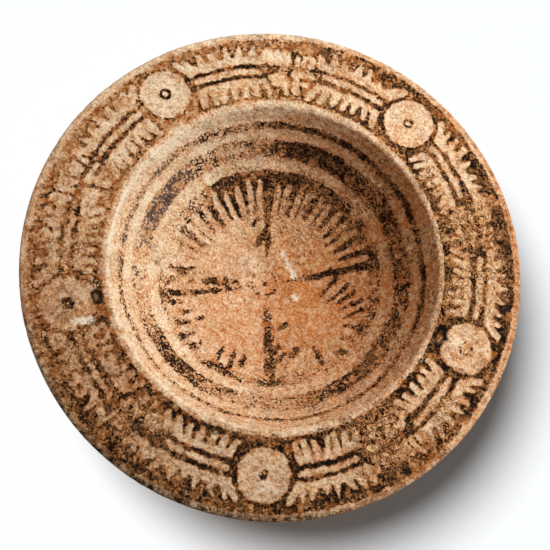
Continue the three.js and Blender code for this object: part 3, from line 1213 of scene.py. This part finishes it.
@dataclass
class FloorMedallion:
    """Four palmettes round a small ring, left light in the floor's dark ground."""

    form: BowlForm
    noise: ClayNoise
    radius: float = 46.8
    petal_tip: float = 42.3
    petal_root: float = 30.5
    petal_run: tuple[float, ...] = (29.5, 33.0, 39.0)
    bare_reach: tuple[float, float] = (42.4, 42.2)
    arms: tuple[Arm, ...] = (Arm(9, 0.8, 2.9), Arm(90, 0.8, 1.8), Arm(190, 1.2, 1.8), Arm(270, 2.0, 2.6))
    petal_pitch: float = 7.3
    arm_margin: float = 5.0
    centre: tuple[float, float] = (-1.2, 0.4)
    centre_size: float = 5.4
    ring_half: float = 0.5
    ring_density: float = 0.6
    dot_size: float = 1.2
    dot_density: float = 0.7
    seed: int = 11
    density: Turn = (
        (0, 0.36), (9, 0.76), (20, 0.48), (45, 0.82), (65, 1.0), (118, 0.82), (130, 0.46), (160, 0.24),
        (180, 0.24), (190, 0.62), (197, 0.36), (210, 0.32), (228, 0.34), (236, 0.6), (252, 0.6),
        (258, 0.4), (264, 0.6), (270, 0.8), (276, 0.52), (282, 0.3), (300, 0.29), (320, 0.29),
        (332, 0.4), (345, 0.45),
    )
    stroke_density: Turn = (
        (0, 0.8), (150, 0.85), (182, 0.8), (195, 0.66), (225, 0.66), (236, 0.85), (330, 0.85),
    )
    # Ends of the thin and of the broad strokes left in the lower palmettes, as radius and angle
    thin_strokes: tuple[tuple[tuple[float, float], tuple[float, float]], ...] = (
        ((23.4, -13.5), (29.7, 2.5)), ((27.1, -19.0), (33.8, -3.0)), ((30.8, -18.0), (36.5, -8.5)),
        ((33.2, -22.0), (40.0, -13.0)), ((35.7, -27.0), (41.5, -18.5)), ((36.7, -32.0), (43.4, -30.0)),
        ((39.0, -41.0), (40.8, -38.0)), ((41.0, -50.0), (43.5, -47.0)),
    )
    broad_strokes: tuple[tuple[tuple[float, float], tuple[float, float]], ...] = (
        ((34.8, 236.8), (43.0, 236.8)), ((34.4, 245.0), (43.0, 245.4)), ((34.5, 252.0), (39.0, 251.8)),
        ((36.0, 203.0), (40.5, 201.5)), ((32.0, 210.5), (33.5, 210.0)), ((38.0, 195.5), (43.0, 194.5)),
        ((38.0, 209.0), (43.0, 208.0)), ((39.5, 216.0), (43.5, 215.0)), ((40.0, 224.0), (43.5, 223.0)),
        ((34.6, -58.0), (41.0, -58.8)), ((20.6, -77.2), (19.8, -67.2)), ((30.8, -87.0), (28.3, -82.2)),
        ((34.7, -84.0), (32.4, -78.8)), ((34.7, -75.8), (31.5, -69.8)),
    )
    light: Drawing = field(init=False)
    dark: Drawing = field(init=False)

    def __post_init__(self) -> None:
        """Draws the petals of the two upper palmettes, and the strokes left in the two lower ones."""
        self.light = Drawing(self.noise, sway=0.45, tremor=0.3)
        rng = np.random.default_rng(self.seed)
        for arm, after in zip(self.arms[:2], self.arms[1:3]):
            span = (after.angle - arm.angle) % 360 - 2 * self.arm_margin
            for k in range(round(span / self.petal_pitch) + 1):
                step = span / round(span / self.petal_pitch)
                angle = arm.angle + self.arm_margin + k * step + rng.uniform(-1.0, 1.0)
                tip = self.petal_tip + rng.uniform(-1.6, 0.6)
                fat = rng.uniform(-0.2, 0.25)
                end = (tip, angle + rng.uniform(-0.8, 0.8))
                ends = [*((radius, angle) for radius in self.petal_run), end]
                self.light.line(ends, [1.15, 1.2 + fat, 1.2 + fat, 0.95 + fat])
        self.light.line([(41.0, 165.5), (32.0, 168.0)], [1.9, 1.3])
        self.light.line([(40.5, 185.5), (31.0, 172.0)], [1.7, 1.2])
        self.dark = Drawing(self.noise, sway=0.45, tremor=0.7)
        self.dark.line([(17.4, 105.0), (20.8, 94.0), (24.0, 90.5)], [1.0, 2.2, 1.2])
        self.dark.line([(26.0, 104.0), (28.0, 99.0)], [0.6, 0.9])
        self.dark.line([(13.0, 178.0), (19.0, 178.0), (27.0, 180.0)], [0.9, 2.3, 1.7])
        self.dark.line([(31.5, 171.0), (38.0, 176.0)], [0.5, 1.6])
        for strokes, halves in ((self.thin_strokes, (0.6, 1.4)), (self.broad_strokes, (0.9, 1.5))):
            for ends in strokes:
                self.dark.line(ends, halves)

    def _palmettes(self, patch: Patch) -> Array:
        """Distance of places into the plain inner part of the four palmettes."""
        reaches = (self.petal_root, self.petal_root, *self.bare_reach)
        bitten = 1.6 * self.noise.smooth(patch.points, 3.5) - patch.radius
        inside = np.full(len(bitten), -np.inf)
        ragged = 0.9 * self.noise.layered(patch.points, 4.0, 2)
        for arm, after, reach in zip(self.arms, [*self.arms[1:], self.arms[0]], reaches):
            left = arm.beside(patch) - arm.half(patch.radius) + ragged
            right = -after.beside(patch) - after.half(patch.radius) + ragged
            inside = np.maximum(inside, np.minimum(np.minimum(left, right), reach + bitten))
        return inside

    def ground(self, patch: Patch) -> tuple[Array, Array]:
        """Where the medallion's dark ground lies, and how densely."""
        motif = np.minimum(self.light.distance(patch), -self._palmettes(patch))
        drawn = -self.dark.distance(patch)
        motif = np.maximum(motif, drawn)
        away = np.linalg.norm(patch.plan - np.array(self.centre), axis=1)
        inside = away - self.centre_size - 0.6
        rim = self.radius + 0.4 * self.noise.smooth(patch.points, 7.0) - patch.radius
        ring = self.ring_half - np.abs(away - self.centre_size + 0.5 * self.noise.smooth(patch.points, 3.0))
        ground = np.minimum(np.minimum(motif, inside), rim)
        between = ease(patch.radius, 43.5, 41.0) * (np.sin(patch.theta) > -0.2)
        spread = around(patch.theta, self.density) + 0.25 * between
        spread = spread * (0.35 + 0.65 * ease(patch.radius, 8, 24))
        density = np.maximum(spread, around(patch.theta, self.stroke_density) * (drawn > -0.4))
        return np.maximum(ground, ring), np.where(ring > ground, self.ring_density, density)

    def dot(self, patch: Patch) -> tuple[Array, Array]:
        """The dot in the middle."""
        away = np.linalg.norm(patch.plan - np.array(self.centre), axis=1)
        cover = self.dot_size - away + 0.3 * self.noise.smooth(patch.points, 1.5)
        return cover, np.full(len(away), self.dot_density)

    def coats(self) -> list[PaintedCoat]:
        """The floor's painted pieces."""
        end = self.form.run_at(self.radius) + 1.2
        return [
            PaintedCoat("medallion_ground", 2.5, end, self.ground),
            PaintedCoat("centre_dot", 0.05, 3.5, self.dot),
        ]


# Clay pieces


@dataclass
class SlipCoat:
    """The cream slip over the whole upper face, run a little over the rim's edge."""

    form: BowlForm
    weather: Weather
    step: float = 0.5
    under_step: int = 6
    depth: float = 2.0
    over_edge: float = 32.0
    feather: float = 0.35
    first_run: float = 0.4

    def build(self, ghost: Callable[[Patch], Array]) -> bpy.types.Object:
        """Makes the slip coat.

        Args:
            ghost: share of paint that once lay at each place, which still stains the slip.

        Returns:
            The object, closed, with its wear in attributes.
        """
        form = self.form
        end = form.widest_run + form.under_round * math.radians(self.over_edge)
        patch = form.patch(self.first_run, end, self.step, self.step * 1.2)
        thin = self.feather * ease(patch.run, form.widest_run, end)
        ragged = 1 + 0.6 * self.weather.noise.layered(patch.points, 7.0, 2)
        upper = patch.points + patch.normals * (self.weather.relief(patch) - thin * ragged)[:, None]
        layers = {"ghost": ghost(patch), **self.weather.layers(patch)}
        rows = np.append(np.arange(0, patch.rows - 1, self.under_step), patch.rows - 1)
        columns = np.arange(0, patch.columns, self.under_step)
        chosen = (rows[:, None] * patch.columns + columns).ravel()
        lower = patch.points[chosen] - self.depth * patch.normals[chosen]
        below = replace(patch.pick(chosen), rows=len(rows), columns=len(columns), points=lower)
        shift = len(upper)
        floor_level = form.height - form.well_depth
        middle = np.array([[0, 0, floor_level], [0, 0, floor_level - self.depth]])
        cap = shift + len(lower)
        first = np.arange(patch.columns)
        top_cap = np.stack([first, np.roll(first, -1), np.full(len(first), cap)], axis=1)
        first = shift + np.arange(len(columns))
        low_cap = np.stack([np.roll(first, -1), first, np.full(len(first), cap + 1)], axis=1)
        under = below.quads()[:, ::-1] + shift
        faces = [patch.quads(), top_cap, under, low_cap, *self._edge(patch, columns, below)]
        points = np.concatenate([upper, lower, middle])
        filled = {key: np.concatenate([v, v[chosen], [v[0]] * 2]) for key, v in layers.items()}
        return write_mesh(WORN + "slip_coat", points, faces, filled)

    def _edge(self, patch: Patch, columns: Array, below: Patch) -> list[Array]:
        """Faces that join the fine upper edge to the coarse lower one."""
        top = (patch.rows - 1) * patch.columns
        low = patch.rows * patch.columns + (below.rows - 1) * below.columns
        groups: dict[int, list[list[int]]] = {}
        for k, start in enumerate(columns):
            end = columns[k + 1] if k + 1 < len(columns) else patch.columns
            upper = [top + c % patch.columns for c in range(start, end + 1)]
            face = [low + k, low + (k + 1) % below.columns, *reversed(upper)]
            groups.setdefault(len(face), []).append(face)
        return [np.array(group)[:, ::-1] for group in groups.values()]


@dataclass
class ThrownBody:
    """The thrown clay bowl under the slip, with turning marks on its underside."""

    form: BowlForm
    noise: ClayNoise
    columns: int = 640
    sink: float = 2.2
    hidden_rows: int = 60
    edge_step: float = 0.6
    under_step: float = 0.9
    mark: float = 0.09
    mark_spacing: float = 2.9
    unevenness: float = 0.12
    grain: float = 0.06
    pit_depth: float = 0.3

    def build(self) -> bpy.types.Object:
        """Makes the body as one turned mesh, its upper side sunk below the slip's face."""
        form = self.form
        hidden = np.linspace(0.3, form.widest_run - 0.4, self.hidden_rows)
        radius, level, out, up = form.section(hidden)
        edge_end = form.widest_run + form.under_round * math.pi / 2
        edge_r, edge_z, _, _ = form.section(np.arange(form.widest_run, edge_end, self.edge_step))
        under_r, under_z = form.under_section(self.under_step)
        radii = np.concatenate([radius - self.sink * out, edge_r, under_r])
        levels = np.concatenate([level - self.sink * up, edge_z, under_z])
        return lathe(WORN + "thrown_body", radii, levels, self.columns, self._relief)

    def _relief(self, points: Array, normals: Array) -> Array:
        """Turning marks and grain on the faces that look down or out."""
        shown = ease(-normals[:, 2], -0.75, -0.5)
        reach = np.hypot(points[:, 0], points[:, 1]) + points[:, 2] + 1.4 * self.noise.smooth(points, 30.0)
        marks = self.mark * np.sin(2 * math.pi * reach / self.mark_spacing)
        marks = marks + self.unevenness * self.noise.smooth(points, 12.0)
        pits = self.pit_depth * self.noise.pits(points, 5.0, 0.4, 1.1)
        rough = self.grain * self.noise.layered(points, 2.0, 2) - pits
        return shown * (marks + rough - 0.05)


@dataclass
class FootRing:
    """The low foot ring luted under the body."""

    form: BowlForm
    noise: ClayNoise
    width: float = 7.0
    draft: float = 1.2
    round_edge: float = 0.9
    seat_sink: float = 0.25
    chip_depth: float = 0.7
    grain: float = 0.05
    step: float = 0.5
    columns: int = 400

    def build(self) -> bpy.types.Object:
        """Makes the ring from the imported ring's outer radius, its edges worn round."""
        _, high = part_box("foot_ring")
        outer = high.x / MM
        inner = outer - self.width
        sphere = self.form.well_sphere + self.form.wall
        base = self.form.sphere_height
        seat = [base - math.sqrt(sphere**2 - r**2) + self.seat_sink for r in (inner, outer)]
        corners = [
            (inner, seat[0]), (inner + 0.3, 1.6), (inner + self.draft, self.round_edge),
            (inner + self.draft + self.round_edge, 0.0), (outer - self.draft - self.round_edge, 0.0),
            (outer - self.draft, self.round_edge), (outer - 0.3, 1.8), (outer, seat[1]), (inner, seat[0]),
        ]
        radii, levels = [], []
        for (r0, z0), (r1, z1) in zip(corners, corners[1:]):
            count = max(2, round(math.hypot(r1 - r0, z1 - z0) / self.step))
            radii.append(np.linspace(r0, r1, count, endpoint=False))
            levels.append(np.linspace(z0, z1, count, endpoint=False))
        radii_all = np.append(np.concatenate(radii), inner)
        levels_all = np.append(np.concatenate(levels), seat[0])
        return lathe(WORN + "foot_ring", radii_all[::-1], levels_all[::-1], self.columns, self._relief)

    def _relief(self, points: Array, normals: Array) -> Array:
        """Wear of the sole and grain of the sides."""
        low = ease(-points[:, 2], -1.5, -0.2)
        chips = -self.chip_depth * np.clip(self.noise.layered(points, 6.0, 3) - 0.35, 0, 1)
        grain = self.grain * self.noise.layered(points, 1.8, 2) - 0.06
        return np.where(points[:, 2] < 0.05, np.minimum(grain, -0.01), grain) + low * chips


# Finishes


class Finish:
    """A material in the making, with the few kinds of node that finishes are mixed from."""

    def __init__(self, name: str) -> None:
        """Makes the material with its shader."""
        self.material = bpy.data.materials.new(name)
        self.material.use_nodes = True
        self.tree = self.material.node_tree

    @cached_property
    def place(self) -> Socket:
        """Object coordinates, in which patterns keep their size."""
        return add_node(self.tree, "ShaderNodeTexCoord").outputs["Object"]

    def layer(self, name: str) -> Socket:
        """Wear that is stored on the mesh under a name."""
        return add_node(self.tree, "ShaderNodeAttribute", attribute_name=name).outputs["Fac"]

    def noise(self, size: float, detail: float, roughness: float = 0.5, distortion: float = 0.0) -> Socket:
        """Noise with lumps of a size in millimetres."""
        feeds = {"Vector": self.place, "Scale": scale_for(size), "Detail": detail}
        feeds |= {"Roughness": roughness, "Distortion": distortion}
        return add_node(self.tree, "ShaderNodeTexNoise", feeds).outputs["Fac"]

    def ramp(self, value: Feed, start: float, end: float, low: Feed = 0.0, high: Feed = 1.0) -> Socket:
        """Runs from low, where the value is at start, to high, where it is at end."""
        feeds = {"Value": value, "From Min": start, "From Max": end, "To Min": low, "To Max": high}
        return add_node(self.tree, "ShaderNodeMapRange", feeds).outputs["Result"]

    def maths(self, kind: str, *values: Feed, clamp: bool = False) -> Socket:
        """Works out a value from others, held between 0 and 1 where it is clamped."""
        feeds = dict(enumerate(values))
        return add_node(self.tree, "ShaderNodeMath", feeds, operation=kind, use_clamp=clamp).outputs[0]

    def blend(self, share: Feed, below: Socket | str, above: Socket | str, kind: str = "MIX") -> Socket:
        """Lays a share of one colour over another. Colours are hex or come from other nodes."""
        under, over = (linear(hue) if isinstance(hue, str) else hue for hue in (below, above))
        feeds = {0: share, 6: under, 7: over}
        return add_node(self.tree, "ShaderNodeMix", feeds, data_type="RGBA", blend_type=kind).outputs[2]

    def bump(self, height: Socket, strength: float, depth: float, below: Socket | None = None) -> Socket:
        """Normal of a face with relief of a depth in millimetres, over the normal of other relief."""
        feeds = {"Height": height, "Strength": strength, "Distance": depth * MM}
        if below is not None:
            feeds["Normal"] = below
        return add_node(self.tree, "ShaderNodeBump", feeds).outputs["Normal"]

    def dress(
        self, colour: Feed, roughness: Feed, gloss: float, normal: Socket | None = None
    ) -> bpy.types.Material:
        """Feeds the shader.

        Args:
            colour: base colour.
            roughness: how dry the surface is.
            gloss: level of its mirror light.
            normal: normal of its fine relief.

        Returns:
            The finished material.
        """
        feeds = {"Base Color": colour, "Roughness": roughness, "Specular IOR Level": gloss}
        if normal is not None:
            feeds["Normal"] = normal
        feed_inputs(self.tree, self.tree.nodes["Principled BSDF"], feeds)
        return self.material


@dataclass(frozen=True)
class CreamSlip:
    """Fired cream slip, weathered: chalky, pitted, stained, dry and mottled all over, with painted shade
    and highlight.
    """

    name: str = "fired_cream_slip_weathered"
    cream: str = "#f6dfbd"
    buff: str = "#e8c095"
    # Iron stain, also laid as warm painted shade on the well's shaded side
    rust: str = "#c07030"
    pale: str = "#ffe8c4"
    # Painted highlight along the lit lip, where the stain runs below zero
    lip_highlight: str = "#fff6e4"
    # The crust's colour, also laid as its painted highlight
    crust: str = "#f3c48f"
    # Painted shade beside the crust's lumps and ridges
    shade: str = "#7d5030"
    speck: str = "#6e3d1a"
    thin_wash: str = "#f4c18c"
    deep_wash: str = "#8e643b"
    scar: str = "#f3e4cc"
    clay: str = "#d39a66"
    # Dark dirt, also laid as painted shade on the rim's edge and flange away from the key lamp
    grime: str = "#1e1308"
    soil: str = "#150d08"
    gloss: float = 0.06
    crust_highlight: float = 0.8
    cloud_size: float = 12.0
    mottle_size: float = 2.8
    # About a millimetre, coarser than the grain of real slip, so that it shows
    grain_size: float = 0.95
    grain_depth: float = 0.5
    lump_size: float = 2.3
    lump_depth: float = 2.0
    ridge_size: float = 3.2

    def colour(self, work: Finish) -> tuple[Socket, Socket]:
        """Mixes the slip's colour.

        Args:
            work: the material in the making.

        Returns:
            The colour and the grain's height.
        """
        names = ("ghost", "bare", "soil", "rust", "grime", "scar")
        ghost, bare, soil, rust, grime, scar = (work.layer(name) for name in names)
        cloud = work.noise(self.cloud_size, 4.0)
        mottle = work.noise(self.mottle_size, 4.0, 0.7)
        grain = work.noise(self.grain_size, 3.0, 0.72)
        base = work.blend(work.ramp(cloud, 0.4, 0.62), self.cream, self.buff)
        patchy = work.ramp(mottle, 0.36, 0.64, -0.36, 0.36)
        # Iron stain, which also lays warm painted shade on the well's shaded side and on the lower-left
        # flange and edge
        base = work.blend(work.maths("ADD", rust, patchy, clamp=True), base, self.rust)
        # Where the stain runs below zero, a painted highlight whitens the slip along the lit lip
        base = work.blend(work.ramp(rust, 0.0, -0.4), base, self.lip_highlight)
        veil = work.ramp(mottle, 0.35, 0.62, 0.5, 1.15)
        base = work.blend(work.maths("MULTIPLY", bare, veil, clamp=True), base, self.clay)
        # Stain has filled the grain, so stained slip is smoother, and pale grains stay out of the painted
        # shade
        clean = work.ramp(rust, 0.0, 1.0, 0.85, 0.2)
        filled = work.ramp(rust, 0.0, 1.0, 0.38, 0.24)
        base = work.blend(work.ramp(grain, 0.515, 0.575, 0.0, clean), base, self.pale)
        # Lost paint has left a wash in the slip
        stain = work.maths("MULTIPLY", ghost, veil, clamp=True)
        wash = work.blend(stain, self.thin_wash, self.deep_wash)
        base = work.blend(work.ramp(stain, 0.0, 0.55), base, wash, "MULTIPLY")
        deep = work.maths("MULTIPLY_ADD", stain, 0.55, filled, clamp=True)
        base = work.blend(work.ramp(grain, 0.465, 0.4, 0.0, deep), base, self.speck)
        # Dark dirt, and painted shade on the rim's edge and flange away from the key lamp
        base = work.blend(work.maths("MULTIPLY", grime, veil, clamp=True), base, self.grime)
        base = work.blend(soil, base, self.soil)
        base = work.blend(work.ramp(grain, 0.35, 0.5, 0.0, scar), base, self.scar)
        return base, grain

    def encrust(
        self, work: Finish, colour: Socket, grain: Socket, highlight_tone: str, shown: float
    ) -> tuple[Socket, Socket]:
        """Lays the burial crust over slip or paint: lumps and ridges with painted highlight and painted
        shade.

        Args:
            work: the material in the making.
            colour: the colour below the crust.
            grain: height of the slip's grain.
            highlight_tone: the crust's colour, also laid as its painted highlight.
            shown: how much of the lumps' painted highlight shows.

        Returns:
            The colour with the crust on it, and the normal of its relief.
        """
        crust = work.layer("crust")
        thick = work.ramp(crust, 0.28, 0.7)
        lump = work.noise(self.lump_size, 3.0, 0.62, 0.8)
        worm = work.noise(self.ridge_size, 2.0, 0.55, 2.0)
        beside = (work.maths("SUBTRACT", worm, level) for level in (0.5, 0.57))
        ridge_highlight, shade = (work.maths("ABSOLUTE", side) for side in beside)
        # Painted shade on low lumps and beside the ridges; painted highlight in the crust's colour on high
        # lumps and on the ridges
        flecks = (
            (lump, 0.46, 0.38, crust, 0.8, self.shade, "MULTIPLY"),
            (lump, 0.555, 0.6, crust, shown, highlight_tone, "MIX"),
            (shade, 0.05, 0.02, thick, 0.8, self.shade, "MULTIPLY"),
            (ridge_highlight, 0.04, 0.015, thick, 0.75, highlight_tone, "MIX"),
        )
        for height, start, end, where, most, hue, kind in flecks:
            share = work.ramp(height, start, end, 0.0, work.maths("MULTIPLY", where, most))
            colour = work.blend(share, colour, hue, kind)
        fine = work.bump(grain, 1.0, self.grain_depth)
        return colour, work.bump(work.maths("MULTIPLY", lump, crust), 1.0, self.lump_depth, fine)

    def make(self) -> bpy.types.Material:
        """Makes the material."""
        work = Finish(self.name)
        colour, grain = self.colour(work)
        colour, normal = self.encrust(work, colour, grain, self.crust, self.crust_highlight)
        return work.dress(colour, work.ramp(grain, 0.0, 1.0, 0.95, 0.65), self.gloss, normal)


@dataclass(frozen=True)
class ManganesePaint:
    """Brushed manganese paint, fired on and rubbed: a dry brown-black broken up by the slip's grain, with
    painted shade and highlight.
    """

    slip: CreamSlip
    name: str = "brushed_manganese_paint_rubbed"
    deep: str = "#130905"
    brown: str = "#523218"
    lilac: str = "#7a6257"
    slate: str = "#4f3f39"
    # The crust's colour over paint, also laid as its painted highlight
    crust: str = "#e39c60"
    crust_highlight: float = 0.66

    def make(self) -> bpy.types.Material:
        """Makes the material, with the slip's colour where the paint is rubbed through."""
        work = Finish(self.name)
        below, grain = self.slip.colour(work)
        # Paint on clean slip has faded to a lilac grey
        faded = work.ramp(work.layer("rust"), 0.12, 0.0)
        thin = work.blend(faded, self.brown, self.lilac)
        full = work.blend(faded, self.deep, self.slate)
        # The paint is rubbed off the slip's high grains
        level = work.maths("MULTIPLY_ADD", work.layer("paint_left"), 0.33, 0.35)
        gap = work.maths("SUBTRACT", level, grain)
        cover = work.ramp(gap, -0.014, 0.018)
        paint = work.blend(work.ramp(gap, 0.02, 0.14), thin, full)
        colour = work.blend(cover, below, paint)
        colour, normal = self.slip.encrust(work, colour, grain, self.crust, self.crust_highlight)
        return work.dress(colour, work.ramp(cover, 0.0, 1.0, 0.9, 0.7), self.slip.gloss, normal)


@dataclass(frozen=True)
class BuffBiscuit:
    """Unglazed buff earthenware, turned on the wheel: matt, sandy, with grog and brown patina."""

    name: str = "turned_buff_earthenware"
    buff: str = "#c99a68"
    brown: str = "#8f6238"
    grog: str = "#5a3a22"
    gloss: float = 0.2
    patina_size: float = 16.0
    sand_size: float = 1.2
    sand_depth: float = 0.4

    def make(self) -> bpy.types.Material:
        """Makes the material."""
        work = Finish(self.name)
        patina = work.noise(self.patina_size, 6.0, 0.65)
        sand = work.noise(self.sand_size, 3.0, 0.75)
        base = work.blend(work.ramp(patina, 0.38, 0.66), self.buff, self.brown)
        base = work.blend(work.ramp(sand, 0.58, 0.7, 0.0, 0.7), base, self.grog)
        normal = work.bump(sand, 0.6, self.sand_depth)
        return work.dress(base, work.ramp(sand, 0.0, 1.0, 0.8, 1.0), self.gloss, normal)


# Studio


@dataclass
class Studio:
    """White floor, lamps and the camera of the photograph."""

    form: BowlForm
    view_roll: float = 22.4
    view_tilt: float = 16.14
    view_distance: float = 410.0
    lens: float = 67.73
    sensor: float = 36.0
    shift: tuple[float, float] = (-0.0022, -0.0237)
    key_angle: float = 22.0
    key_rise: float = 42.0
    key_distance: float = 560.0
    key_size: float = 240.0
    key_power: float = 3.45
    fill_angle: float = 140.0
    fill_rise: float = 55.0
    fill_power: float = 0.74
    ambient: float = 0.185
    floor_sun_angle: float = 144.0
    floor_sun_rise: float = 60.0
    floor_sun_spread: float = 30.0
    floor_sun_power: float = 5.3
    floor_size: float = 4000.0
    floor_drop: float = 0.02
    paper: str = "#cbcdcf"
    sky: str = "#ffffff"

    def camera(self) -> None:
        """Places the camera at the photograph's viewing angle."""
        roll, tilt = math.radians(self.view_roll), math.radians(self.view_tilt)
        side = Vector((math.cos(roll), -math.sin(roll), 0))
        rise = Vector((math.sin(roll) * math.cos(tilt), math.cos(roll) * math.cos(tilt), math.sin(tilt)))
        back = side.cross(rise)
        right = side * math.cos(roll) + rise * math.sin(roll)
        up = rise * math.cos(roll) - side * math.sin(roll)
        data = bpy.data.cameras.new("camera")
        data.lens = self.lens
        data.sensor_width = self.sensor
        data.shift_x, data.shift_y = self.shift
        camera = bpy.data.objects.new("camera", data)
        turn = Matrix((right, up, back)).transposed().to_4x4()
        place = (Vector((0, 0, self.form.height)) + back * self.view_distance) * MM
        camera.matrix_world = Matrix.Translation(place) @ turn
        bpy.context.scene.collection.objects.link(camera)
        bpy.context.scene.camera = camera

    def floor(self) -> bpy.types.Object:
        """Lays the pale floor."""
        half = self.floor_size / 2
        corners = np.array([[-half, -half, 0], [half, -half, 0], [half, half, 0], [-half, half, 0]])
        corners = corners - np.array([0, 0, self.floor_drop])
        floor = write_mesh("floor", corners, [np.array([[0, 1, 2, 3]])], {})
        # Matt paper, with no gloss at all
        floor.data.materials.append(Finish("matt_white_paper").dress(linear(self.paper), 0.9, 0.0))
        return floor

    def light(self, floor: bpy.types.Object, pieces: Sequence[bpy.types.Object]) -> None:
        """Sets a key and a fill lamp on the bowl, a soft sun on the floor alone, and an even sky.

        Args:
            floor: the floor.
            pieces: pieces that the key and fill lamps light.
        """
        for name, angle, rise, power in (
            ("key", self.key_angle, self.key_rise, self.key_power),
            ("fill", self.fill_angle, self.fill_rise, self.fill_power),
        ):
            lamp = bpy.data.lights.new(name, "AREA")
            lamp.shape = "DISK"
            lamp.size = self.key_size * MM
            lamp.energy = power
            self._lamp(lamp, angle, rise, pieces)
        sun = bpy.data.lights.new("floor_sun", "SUN")
        sun.energy = self.floor_sun_power
        sun.angle = math.radians(self.floor_sun_spread)
        self._lamp(sun, self.floor_sun_angle, self.floor_sun_rise, [floor])
        self._sky()

    def _sky(self) -> None:
        """Sets an even sky, white to the camera and dimmer as a light."""
        world = bpy.data.worlds.new("studio")
        bpy.context.scene.world = world
        world.use_nodes = True
        tree = world.node_tree
        seen = add_node(tree, "ShaderNodeLightPath").outputs["Is Camera Ray"]
        level = add_node(tree, "ShaderNodeMapRange", {"Value": seen, "To Min": self.ambient, "To Max": 1.0})
        feeds = {"Color": linear(self.sky), "Strength": level.outputs["Result"]}
        feed_inputs(tree, tree.nodes["Background"], feeds)

    def _lamp(
        self, data: bpy.types.Light, angle: float, rise: float, lit_pieces: Sequence[bpy.types.Object]
    ) -> None:
        """Adds a lamp that shines on the bowl's middle.

        Args:
            data: the lamp.
            angle: angle that it stands at.
            rise: how high it stands, in degrees.
            lit_pieces: the pieces that it lights.
        """
        turn, lift = math.radians(angle), math.radians(rise)
        towards = Vector((math.cos(lift) * math.cos(turn), math.cos(lift) * math.sin(turn), math.sin(lift)))
        place = (Vector((0, 0, self.form.height)) + towards * self.key_distance) * MM
        lamp = bpy.data.objects.new(data.name, data)
        lamp.matrix_world = Matrix.Translation(place) @ towards.to_track_quat("Z", "Y").to_matrix().to_4x4()
        bpy.context.scene.collection.objects.link(lamp)
        lit = bpy.data.collections.new(f"lit_by_{data.name}")
        for piece in lit_pieces:
            lit.objects.link(piece)
        lamp.light_linking.receiver_collection = lit


def settle(piece: bpy.types.Object, slot: Slot, material: bpy.types.Material) -> bpy.types.Object:
    """Dresses a piece and sets it in the frame in place of the node that it is named for."""
    piece.data.materials.append(material)
    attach(piece, ROOT_BODY)
    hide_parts(piece.name.removeprefix(WORN))
    LOG.info("%s: %d faces", piece.name, len(piece.data.polygons))
    return piece


def main() -> None:
    """Builds the bowl, dresses it and sets up the studio."""
    logging.basicConfig(level=logging.INFO, format="%(name)s %(message)s")
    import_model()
    bpy.context.scene.view_settings.view_transform = "Standard"

    form = BowlForm.from_frame()
    hand = ClayNoise(3)
    weather = Weather(form)
    frieze = RimFrieze(form, hand)
    rings = WellRings(form, hand)
    medallion = FloorMedallion(form, hand)
    painter = Painter(form, weather, hand)
    coats = [*frieze.coats(), *rings.coats(), *medallion.coats()]

    def ghost(patch: Patch) -> Array:
        """Stain that the painted pieces leave on the slip."""
        total = np.zeros(len(patch.theta))
        for coat in coats:
            near = (patch.run > coat.start) & (patch.run < coat.end)
            part = patch.pick(near)
            total[near] = np.maximum(total[near], coat.ghost(part.theta, *coat.field(part)))
        return total

    slip = CreamSlip()
    slip_finish = slip.make()
    paint_finish = ManganesePaint(slip).make()
    clay_finish = BuffBiscuit().make()
    pieces = [
        settle(ThrownBody(form, hand).build(), Slot.BISCUIT, clay_finish),
        settle(FootRing(form, hand).build(), Slot.BISCUIT, clay_finish),
        settle(SlipCoat(form, weather).build(ghost), Slot.SLIP, slip_finish),
    ]
    pieces += [settle(painter.paint(coat), Slot.PIGMENT, paint_finish) for coat in coats]

    studio = Studio(form)
    studio.camera()
    studio.light(studio.floor(), pieces)


if __name__ == "__main__":
    main()
